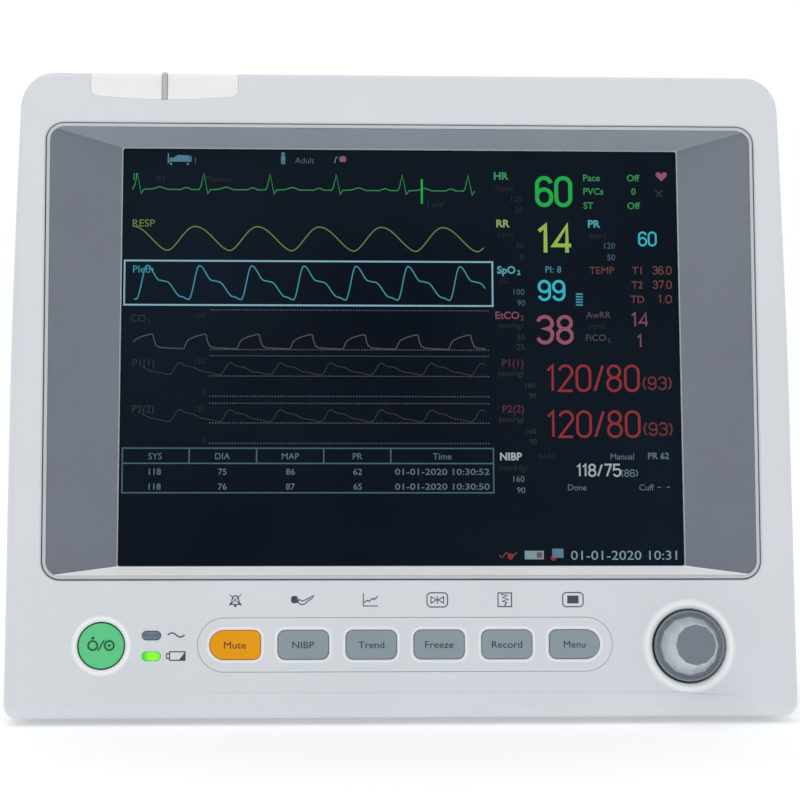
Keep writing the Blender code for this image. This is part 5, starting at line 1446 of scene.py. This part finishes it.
def socket_pair(name, z, ys, radius, bore, colour):
    margin = radius + 0.0022
    front = BAY_FLOOR - 0.004
    plate = raw(name + "_plate", block((front, ys[0] - margin, z - margin),
                                       (BAY_FLOOR - GAP, ys[1] + margin, z + margin), 0.0008, 4))
    carved(plate, [rod((-0.1225, y, z), (front - 0.0033, y, z), radius - 0.0008, 64) for y in ys], "UNION")
    carved(plate, [rod((-0.1265, y, z), (-0.15, y, z), bore, 48) for y in ys])
    show(plate, "socket_grey", "case", "socket_blue", stands_for=name, sharp=40, bevel=0.0002)
    for side, y in enumerate(ys):
        ring = [(bore + 0.00002, 0.129), (bore + 0.00002, 0.1351), (bore + 0.0004, 0.1355),
                (radius - 0.0004, 0.1355),
                (radius, 0.1351), (radius, 0.1322), (radius - 0.00075, 0.1322), (radius - 0.00075, 0.129)]
        piece(f"{name}_ring_{side}", turned(ring, (0, y, z), "left", 64, ring=True), colour,
              slot="socket_blue",
              sharp=45)
        if bore < 0.003:
            core = turned([(0, 0.132), (0.0005, 0.1318), (0.0007, 0.1312), (0.0007, 0.1266), (0, 0.1266)],
                          (0, y, z), "left", 24)
            piece(f"{name}_pin_{side}", core, "gold_pin", slot="brass", sharp=45)
        else:
            contact = stem(0.00042, 0.1312, 0.1266)
            pins = merged(turned(contact, spot, "left", 16) for spot in around(y, z, 0.0022, 4, 45))
            piece(f"{name}_pins_{side}", pins, "gold_pin", slot="brass", sharp=45)


def bay_marks():
    """Words beside the sockets, on the bay's floor; the viewer's right is -Y there."""
    art = Drawing(0.0, 0.0001)
    for text, y, z, tall in (
            ("ECG", 0.038, 0.1805, 0.003), ("SpO", 0.0272, 0.1258, 0.0023), ("2", 0.0243, 0.1252, 0.0015),
            ("CO", 0.0508, 0.1258, 0.0023), ("2", 0.0485, 0.1252, 0.0015), ("T1", 0.038, 0.114, 0.0022),
            ("T2", 0.038, 0.1105, 0.0022), ("P1", 0.0275, 0.0738, 0.0024), ("P2", 0.0485, 0.0738, 0.0024),
            ("NIBP", 0.038, 0.045, 0.0028)):
        art.words("marks", text, -y, z, tall, 1.0, 0.01)
    art.inked("bay_marks_ink", "print_slate", "case", "led_slate",
              Matrix.Translation((BAY_FLOOR - 0.00008, 0, 0)) @ Matrix.Rotation(math.radians(-90), 4, "Z"))


# ---------------------------------------------------------------- right side


def tray(name, low, high, look, slot, cad, cutters=(), joins=()):
    body = raw(name, block(low, high, 0.0006))
    inner_low = tuple(a + TRAY_WALL for a in low)
    inner_high = (high[0], high[1] - TRAY_WALL, high[2] - TRAY_WALL)
    carved(body, [flared_box(inner_low, inner_high, "+X", 0.0004, 0.001)])
    if joins:
        carved(body, joins, "UNION")
    carved(body, cutters)
    return show(body, look, "case", slot, stands_for=cad, sharp=35)


def door(name, low, high, z_low, z_high, hinge, body, cad, cutters):
    """A flat door with soft front edges, a barrel along its hinge and pin ends."""
    x, z = hinge
    y_low, y_high = low[1] + TRAY_WALL + SLIDE_GAP, high[1] - TRAY_WALL - SLIDE_GAP
    leaf = raw(name, block((high[0] - DOOR_THICK, y_low, z_low), (high[0], y_high, z_high), 0.0006, 4))
    carved(leaf, [rod((x, y_low + 0.0001, z), (x, y_high - 0.0001, z), 0.0016, 32),
                  rod((x, low[1] + GAP, z), (x, high[1] - GAP, z), 0.0011, 24)], "UNION")
    carved(leaf, cutters)
    return show(leaf, "bezel", body, "bezel_white", stands_for=cad, sharp=35)


def recorder():
    low, high = RECORDER_LOW, RECORDER_HIGH
    inside_z = high[2] - TRAY_WALL
    fascia = block((high[0] - DOOR_THICK, low[1] + 0.001, 0.146),
                   (high[0], high[1] - 0.001, inside_z + 0.001), 0.0003)
    (y_low, z_low), (x_high, y_high, z_high) = (0.02, 0.157), (0.1412, 0.034, 0.163)
    cutters = [flared_box((0.136, y_low - SLIDE_GAP, z_low - SLIDE_GAP),
                          (high[0], y_high + SLIDE_GAP, z_high + SLIDE_GAP), "+X", 0.0003, 0.001)]
    for x, z, radius in ((0.1175, 0.1185, 0.003), (0.13, 0.153, 0.002), (*RECORDER_HINGE, 0.0011)):
        cutters.append(rod((x, low[1] - 0.01, z), (x, high[1] + 0.01, z), radius + GAP, 32))
    tray("recorder_case", low, high, "bezel", "bezel_white", "recorder_frame", cutters, [fascia])
    dent = flared_box((high[0] - 0.001, 0.027, 0.135), (high[0], 0.047, 0.14), "+X", 0.0005, 0.0022)
    door("recorder_flap_leaf", low, high, 0.0988, 0.143, RECORDER_HINGE, "recorder_flap", "recorder_door",
         [dent])
    button = raw("recorder_release_pad", block((0.137, y_low, z_low), (x_high, y_high, z_high), 0.0007, 4))
    carved(button, [block((0.136, y_low - 0.001, z_low - 0.001),
                          (high[0] - DOOR_THICK - GAP, y_high + 0.001, z_high + 0.001), 0.0002)], "UNION")
    show(button, "key", "recorder_button", "key_grey", stands_for="recorder_release", sharp=35)
    mark = Drawing(0.0, 0.00008)
    mark.line("mark", [(-0.0022, -0.0008), (0, 0.0012), (0.0022, -0.0008)], 0.0004)
    mark.inked("recorder_release_mark", "print_pale", "recorder_button", "bezel_white",
               Matrix.Translation((x_high + 0.00003, 0.027, 0.16))
               @ Matrix.Rotation(math.radians(90), 4, "Z"))
    light = turned([(0, 0.0006), (0.001, 0.0005), (0.0014, 0.0001), (0.0014, -0.0008), (0, -0.0008)],
                   (high[0] - 0.0003, 0.052, 0.16), "right", 32)
    piece("recorder_lamp", light, "led_slate", slot="led_slate", sharp=50)
    for number, z in enumerate((0.1625, 0.15)):
        screw(f"recorder_screw_{number}", (high[0] - 0.0009, 0.0575, z), "right", 0.0018)


def battery():
    low, high = BATTERY_LOW, BATTERY_HIGH
    x, z = BATTERY_HINGE
    tray("battery_case", low, high, "rear_shell", "rear_white", "battery_tray",
         [rod((x, low[1] - 0.01, z), (x, high[1] + 0.01, z), 0.0014, 32)])
    latch = flared_box((0.13, 0.022 - SLIDE_GAP, 0.0235 - SLIDE_GAP),
                       (high[0], 0.035 + SLIDE_GAP, 0.031 + SLIDE_GAP), "+X", 0.0003, 0.001)
    ribs = [block((high[0] - 0.0004, 0.004, 0.034 + 0.0026 * i), (high[0] + 0.01, 0.052, 0.0348 + 0.0026 * i))
            for i in range(4)]
    door("battery_flap_leaf", low, high, 0.02035, 0.0491, BATTERY_HINGE, "battery_flap", "battery_door",
         [latch, *ribs])
    behind = high[0] - DOOR_THICK - GAP
    pad = raw("battery_catch_pad", block((behind - 0.0005, 0.022, 0.0235), (0.1413, 0.035, 0.029), 0.0005, 4))
    carved(pad, [block((behind - 0.0016, 0.019, 0.02035), (behind, 0.038, 0.03), 0.0002)], "UNION")
    carved(pad, [block((0.141, 0.0238, 0.0247 + 0.0012 * i), (0.15, 0.0332, 0.0252 + 0.0012 * i))
                 for i in range(3)])
    show(pad, "key", "battery_catch", "key_grey", stands_for="battery_latch", sharp=35)


# ---------------------------------------------------------------- handle, rear pieces and feet


def swept(path, radius, sides):
    """A tube along a path in the XY plane."""
    turns = [2 * math.pi * k / sides for k in range(sides)]
    rings = []
    for i, point in enumerate(path):
        here, before, after = (Vector(path[k]) for k in (i, max(i - 1, 0), min(i + 1, len(path) - 1)))
        way = (after - before).normalized()
        side = Vector((way.y, -way.x, 0))
        rings.append([here + side * radius * math.cos(t) + Vector((0, 0, radius * math.sin(t)))
                      for t in turns])
    return skin(rings)


def handle():
    y, z, bend = HANDLE_PIVOT_Y, HANDLE_Z, 0.012
    right = [(HANDLE_HALF, y + 0.0005, z)]
    right += [(HANDLE_HALF, y + 0.0242 * i / 4, z) for i in range(1, 4)]
    right += [(u, v, z) for u, v in arc(HANDLE_HALF - bend, HANDLE_REACH - bend, bend, 0, 90, 16)]
    left = [(-a, b, c) for a, b, c in reversed(right)]
    bow = raw("handle_bow", swept(right + left, 0.0065, 40))
    ends = []
    for side, way in ((1, "right"), (-1, "left")):
        boss = rounded([(0, 0.0067), (0.008, 0.0067), (0.008, -0.0065), (0, -0.0065)], 0.0008, 4)
        ends.append(turned(boss, (side * HANDLE_HALF, y, z), way, 64))
        ends.append(rod((side * (HANDLE_HALF + 0.0057), y, z), (side * (POCKET_HALF + WALL + 0.0004), y, z),
                        0.0032, 32))
    carved(bow, ends, "UNION")
    show(bow, "bezel", "carry_handle", "bezel_white", stands_for="handle", sharp=40)
    rings = []
    for i in range(31):
        radius = 0.0064 if i in (0, 30) else 0.00715 if i % 2 else 0.00685
        rings.append([(-0.046 + 0.092 * i / 30, HANDLE_REACH + radius * math.cos(t), z + radius * math.sin(t))
                      for t in [2 * math.pi * k / 40 for k in range(40)]])
    piece("handle_grip", skin(rings), "socket_grey", "carry_handle", "knob_grey", sharp=60)


def sink():
    base_far, tip, fins, fin = 0.0635, 0.0765, 9, 0.0022
    low, high = (-0.005, 0.06, 0.11), (0.075, tip, 0.18)
    body = raw("heat_sink_body", block(low, high))
    pitch = (0.08 - fin) / (fins - 1)
    tools = []
    for i in range(fins - 1):
        a, b = low[0] + fin + pitch * i, low[0] + pitch * (i + 1)
        section = [(a - 0.0003, 0.1), (a - 0.0003, tip), (a, tip - 0.0006), (a + 0.0001, base_far + 0.0008),
                   (a + 0.0008, base_far), (b - 0.0008, base_far), (b - 0.0001, base_far + 0.0008),
                   (b, tip - 0.0006),
                   (b + 0.0003, tip), (b + 0.0003, 0.1)]
        tools.append(tile(section, low[2] - 0.01, high[2] + 0.01, "Z"))
    carved(body, tools)
    show(body, "anodised", "case", "aluminium", stands_for="heat_sink", sharp=30, bevel=0.00025, segments=2)


def rear_ports():
    low, high = INLET_LOW, (-0.081, PORT_FRONT, 0.0445)
    inlet = raw("inlet_shell", block(low, high, 0.0012, 4))
    rim, floor, clip, soft = 0.0022, low[1] + 0.004, 0.0042, 0.0006
    x_low, x_high, z_low, z_high = low[0] + rim, high[0] - rim, low[2] + rim, high[2] - rim
    well = [(x_low + soft, z_low), (x_high - soft, z_low), (x_high, z_low + soft), (x_high, z_high - clip),
            (x_high - clip, z_high), (x_low + clip, z_high), (x_low, z_high - clip), (x_low, z_low + soft)]
    carved(inlet, [tile(well, floor, 0.1)])
    show(inlet, "dark_plastic", "case", "dark_plastic", stands_for="ac_inlet", sharp=35, bevel=0.0002)
    blades = (block((-0.095 + x - 0.001, floor + 0.00005, 0.034 + z - 0.002),
                    (-0.095 + x + 0.001, high[1] - 0.004, 0.034 + z + 0.002), 0.0004)
              for x, z in ((-0.007, -0.002), (0.0, 0.002), (0.007, -0.002)))
    piece("inlet_blades", merged(blades), "steel", slot="steel", sharp=40)
    low, high = JACK_LOW, (-0.024, PORT_FRONT, 0.0405)
    jack = raw("network_jack", block(low, high, 0.0005))
    sill, key = low[2] + 0.002, low[2] + 0.0008
    opening_shape = [(low[0] + 0.002, sill), (-0.035, sill), (-0.035, key), (-0.029, key), (-0.029, sill),
                     (high[0] - 0.002, sill), (high[0] - 0.002, high[2] - 0.0035),
                     (low[0] + 0.002, high[2] - 0.0035)]
    carved(jack, [tile(opening_shape, low[1] + 0.003, 0.1)])
    show(jack, "steel", "case", "steel", stands_for="network_port", sharp=35, bevel=0.00015)
    wires = (rod((x, low[1] + 0.0031, 0.0366), (x, high[1] - 0.006, 0.0352), 0.00018, 10)
             for x in [-0.0355 + 0.001 * i for i in range(8)])
    piece("network_contacts", merged(wires), "gold_pin", slot="brass", sharp=50)
    for number, (x, look) in enumerate(((-0.0382, "socket_yellow"), (-0.0258, "socket_green"))):
        lens = block((x - 0.0009, high[1] - 0.001, 0.0375), (x + 0.0009, high[1] + 0.0002, 0.0397), 0.0003)
        piece(f"network_light_{number}", lens, look, slot="led_green", sharp=50)
    x, y, z = -0.062, 0.06315, 0.034
    stud = rounded([(0, 0.013), (0.0022, 0.013), (0.003, 0.0122), (0.003, 0.0068), (0.0026, 0.0066)], 0.0003,
                   3)
    stud += [(0.0026, 0.0036), (0.0041, 0.0033), (0.0041, -0.004), (0, -0.004)]
    piece("earth_stud", turned(stud, (x, y, z), "rear", 48), "brass", slot="brass", sharp=40,
          stands_for="equipotential_terminal")
    nut = cone(6, 0.0053, 0.0053, 0.003, Matrix.Translation((x, y + 0.005, z)) @ WAYS["rear"])
    piece("earth_nut", softened(nut, 0.0004, 2), "brass", slot="brass", sharp=30)
    art = Drawing(0.0, 0.00008)
    art.words("marks", "~", 0.095, 0.0485, 0.003)
    art.words("marks", "LAN", 0.032, 0.0445, 0.0024)
    for i, half in enumerate((0.0022, 0.0014, 0.0006)):
        art.line("marks", [(0.062 - half, 0.0448 - 0.0009 * i), (0.062 + half, 0.0448 - 0.0009 * i)], 0.0004)
    art.line("marks", [(0.062, 0.0448), (0.062, 0.047)], 0.0004)
    art.inked("port_marks_ink", "print_slate", "case", "dark_plastic",
              Matrix.Translation((0, 0.06606, 0)) @ Matrix.Rotation(math.pi, 4, "Z"))


def speaker():
    driver = ((0, 0.003), (0.006, 0.0045), (0.018, 0.01), (0.0196, 0.0108), (0.0208, 0.0104), (0.022, 0.011),
              (0.022, 0.0085), (0.0195, 0.008), (0.012, -0.002), (0.012, -0.008), (0, -0.008))
    piece("speaker_driver", turned(driver, (-0.07, 0.063, 0.15), "rear", 72), "dark_plastic",
          slot="dark_plastic",
          sharp=35, stands_for="speaker")


def feet():
    for row, y in FOOT_ROWS.items():
        for side, name in ((-1, "left"), (1, "right")):
            x = side * FOOT_X
            foot = raw(f"foot_pad_{row}_{name}", skin([
                [(a, b, z) for a, b in pill(x, y, *FOOT_SIZE, grow, 10)]
                for z, grow in ((0.0033, 0.0), (0.001, 0.0), (0.0004, -0.0002), (0.0, -0.0008))]))
            carved(foot, [tile(pill(x, y + shift, half, 0.00055, 0, 6), -0.01, 0.0006, "Z")
                          for shift, half in ((0, 0.0095), (0.0026, 0.008), (-0.0026, 0.008))])
            show(foot, "rubber", "case", "rubber", stands_for=f"foot_{row}_{name}", sharp=35)


def plate():
    body = raw("mount_plate_body", block((-0.05965, 0.00035, BASE_Z), (0.05965, 0.05965, 0.0043), 0.0004, 3))
    hole = ((0, 0.01), (0.0034, 0.01), (0.0034, 0.0), (0.0021, -0.0006), (0.0021, -0.01), (0, -0.01))
    carved(body, [turned(hole, (x, y, BASE_Z + 0.0002), "down", 40) for x in (-0.05, 0.05)
                  for y in (0.01, 0.05)])
    show(body, "aluminium", "case", "aluminium", stands_for="mounting_plate", sharp=35)


# ---------------------------------------------------------------- pieces inside


INNER_LOOKS = {
    "lcd_glass": ("display_glass", "glass_black"), "lcd_panel": ("steel", "steel"),
    "main_board": ("board", "board_green"),
    "chassis": ("aluminium", "aluminium"), "keypad_board": ("board", "board_green"),
    "encoder_body": ("steel", "steel"),
    "encoder_plunger": ("steel", "steel"), "parameter_board": ("board", "board_green"),
    "paper_roll": ("paper", "paper"),
    "paper_spindle": ("dark_plastic", "dark_plastic"), "platen_roller": ("rubber", "rubber"),
    "platen_gear": ("dark_plastic", "dark_plastic"), "motor_pinion": ("brass", "brass"),
    "stepper_motor": ("steel", "steel"),
    "print_head": ("dark_plastic", "dark_plastic"), "battery_pack": ("battery", "battery_grey"),
    "power_supply": ("board", "board_green"), "nibp_pump": ("steel", "steel"),
}


def inner_pieces():
    for name, (look, slot) in INNER_LOOKS.items():
        obj = bpy.data.objects[name]
        obj.data.materials.clear()
        obj.data.materials.append(looks[look])
        weld = obj.modifiers.new("weld", "WELD")
        weld.merge_threshold = 0.000001
        obj.data.shade_smooth()
        split = obj.modifiers.new("split", "EDGE_SPLIT")
        split.split_angle = math.radians(35)


# ---------------------------------------------------------------- room, light and camera


def stage():
    tree, shader = shader_of("backdrop", Emission_Strength=0.22, Roughness=0.9, Specular_IOR_Level=0.1)
    white = ramp(tree, noise(tree, 1.5, 2.0), (0.3, (0.955,) * 3), (0.7, (0.965,) * 3))
    feed(tree, white, shader, "Base Color", "Emission Color")
    section = [(-20.0, 0.0), (0.9, 0.0), *arc(0.9, 0.7, 0.7, -80, 0, 8), (1.6, 3.2)]
    work = bmesh.new()
    rows = [[work.verts.new((x, y, z)) for x in (-12, 12)] for y, z in section]
    for a, b in zip(rows, rows[1:]):
        work.faces.new((a[0], a[1], b[1], b[0]))
    sweep = raw("backdrop_sweep", work)
    sweep.data.shade_smooth()
    sweep.data.materials.append(looks["backdrop"])
    lights = [
        soft_light("key_light", (-0.45, -1.0, 1.45), (0.0, 0.0, 0.12), 1.3, 6.0),
        soft_light("fill_light", (1.2, -1.1, 0.7), (0.0, 0.0, 0.12), 1.2, 2.0),
        soft_light("top_light", (0.0, 0.15, 1.7), (0.0, 0.0, 0.1), 1.4, 5.0),
    ]
    bpy.context.scene.view_settings.view_transform = "Standard"
    world = bpy.data.worlds.new("studio")
    bpy.context.scene.world = world
    world.use_nodes = True
    backdrop = world.node_tree.nodes["Background"]
    backdrop.inputs["Color"].default_value = (0.97, 0.985, 1.0, 1)
    backdrop.inputs["Strength"].default_value = 0.55


def soft_light(name, place, target, size, power):
    data = bpy.data.lights.new(name, "AREA")
    data.shape, data.size, data.energy = "SQUARE", size, power
    data.color = (1.0, 0.995, 0.985)
    obj = bpy.data.objects.new(name, data)
    obj.location = place
    obj.rotation_euler = (Vector(target) - Vector(place)).to_track_quat("-Z", "Y").to_euler()
    bpy.context.scene.collection.objects.link(obj)
    return obj


CAMERA_FOCAL, CAMERA_IMAGE = 2164.164, 800.0
CAMERA_TURN = (math.radians(2.352628), math.radians(-7.883188), math.radians(0.2103705))  # yaw, pitch, roll
CAMERA_SHIFT = Vector((0.0010373, 0.0038101, -0.806401))
CAMERA_AIM_V = 0.121666


def camera():
    yaw, pitch, roll = CAMERA_TURN
    turn = (Matrix.Rotation(roll, 3, "Z") @ Matrix.Rotation(pitch, 3, "X") @ Matrix.Rotation(yaw, 3, "Y"))
    to_world = Matrix(((1, 0, 0), (0, math.sin(LEAN), -math.cos(LEAN)), (0, math.cos(LEAN), math.sin(LEAN))))
    place = -(turn.transposed() @ CAMERA_SHIFT)
    data = bpy.data.cameras.new("camera")
    data.sensor_fit, data.sensor_width = "HORIZONTAL", 36.0
    data.lens = CAMERA_FOCAL / CAMERA_IMAGE * 36.0
    data.clip_start, data.clip_end = 0.01, 20.0
    obj = bpy.data.objects.new("camera", data)
    matrix = (to_world @ turn.transposed()).to_4x4()
    matrix.translation = PANEL @ Vector((0, 0, CAMERA_AIM_V)) + to_world @ place
    obj.matrix_world = matrix
    bpy.context.scene.collection.objects.link(obj)
    bpy.context.scene.camera = obj


make_materials()
front_housing()
display()
screen_content()
keys()
power_button()
indicators()
prints()
knob()
rear_housing()
connector_bay()
recorder()
battery()
handle()
sink()
speaker()
rear_ports()
feet()
plate()
inner_pieces()
stage()
camera()
